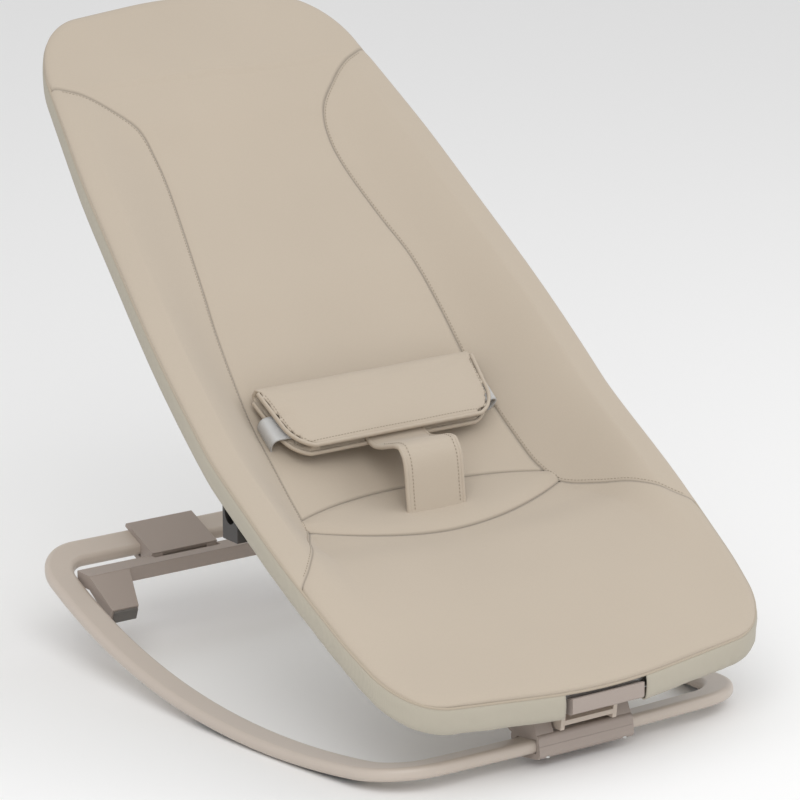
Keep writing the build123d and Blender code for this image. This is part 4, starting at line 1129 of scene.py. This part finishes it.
# ---------------------------------------------------------------- stage
class BOUNCER_OT_stage(bpy.types.Operator):
    """Pale floor, soft studio lights and the camera"""
    bl_idname = "bouncer.stage"
    bl_label = "Stage"

    def execute(self, context):
        stage = context.scene.bouncer_stage
        tones = context.scene.bouncer_colours
        bm = bmesh.new()
        bmesh.ops.create_grid(bm, x_segments=1, y_segments=1, size=12)
        mesh = bpy.data.meshes.new("floor")
        bm.to_mesh(mesh)
        bm.free()
        floor = bpy.data.objects.new("floor", mesh)
        context.scene.collection.objects.link(floor)
        paper = Finish("Bouncer floor", 0.9)
        paper.colour((*tones.floor, 1))
        mesh.materials.append(paper.material)
        light("key", (-1.4, -2.0, 2.5), 2.4, stage.key)
        light("fill", (2.2, -1.2, 1.8), 2.0, stage.fill)
        world = bpy.data.worlds.new("Bouncer studio")
        world.use_nodes = True
        back = world.node_tree.nodes["Background"]
        back.inputs["Color"].default_value = (1, 1, 1, 1)
        back.inputs["Strength"].default_value = stage.sky
        context.scene.world = world
        context.scene.view_settings.view_transform = "Standard"
        lens = bpy.data.cameras.new("camera")
        lens.lens = stage.lens
        lens.sensor_width = 36
        camera = bpy.data.objects.new("camera", lens)
        context.scene.collection.objects.link(camera)
        camera.location = stage.place
        look = (Vector(stage.target) - Vector(stage.place)).to_track_quat("-Z", "Y")
        camera.rotation_euler = (look.to_matrix() @ Matrix.Rotation(-stage.roll, 3, "Z")).to_euler()
        context.scene.camera = camera
        return {"FINISHED"}


def light(name, place, size, power):
    """A large square soft light that faces the seat."""
    data = bpy.data.lights.new(name, "AREA")
    data.size = size
    data.energy = power
    made = bpy.data.objects.new(name, data)
    bpy.context.scene.collection.objects.link(made)
    made.location = place
    made.rotation_euler = (Vector((0, 0, 0.2)) - Vector(place)).to_track_quat("-Z", "Y").to_euler()


# ---------------------------------------------------------------- add-on
STEPS = (BOUNCER_OT_panels, BOUNCER_OT_band, BOUNCER_OT_underside, BOUNCER_OT_belt_pad, BOUNCER_OT_crotch_strap,
         BOUNCER_OT_webbing, BOUNCER_OT_stitches, BOUNCER_OT_finishes, BOUNCER_OT_stage)
GROUPS = {"bouncer_cover": BOUNCER_PG_cover, "bouncer_harness": BOUNCER_PG_harness,
          "bouncer_colours": BOUNCER_PG_colours, "bouncer_stage": BOUNCER_PG_stage}


class BOUNCER_PT_panel(bpy.types.Panel):
    """Settings and steps of the bouncer seat"""
    bl_label = "Bouncer seat"
    bl_idname = "BOUNCER_PT_panel"
    bl_space_type = "VIEW_3D"
    bl_region_type = "UI"
    bl_category = "Bouncer"

    def draw(self, context):
        for name, group in GROUPS.items():
            box = self.layout.box()
            for key in group.__annotations__:
                box.prop(getattr(context.scene, name), key)
        for step in STEPS:
            self.layout.operator(step.bl_idname)


def register():
    for group in GROUPS.values():
        bpy.utils.register_class(group)
    for name, group in GROUPS.items():
        setattr(bpy.types.Scene, name, PointerProperty(type=group))
    for step in (*STEPS, BOUNCER_PT_panel):
        bpy.utils.register_class(step)


def unregister():
    for step in reversed((*STEPS, BOUNCER_PT_panel)):
        bpy.utils.unregister_class(step)
    for name, group in GROUPS.items():
        delattr(bpy.types.Scene, name)
        bpy.utils.unregister_class(group)


def main():
    register()
    for step in STEPS:
        family, name = step.bl_idname.split(".")
        getattr(getattr(bpy.ops, family), name)()


if __name__ == "__main__":
    main()
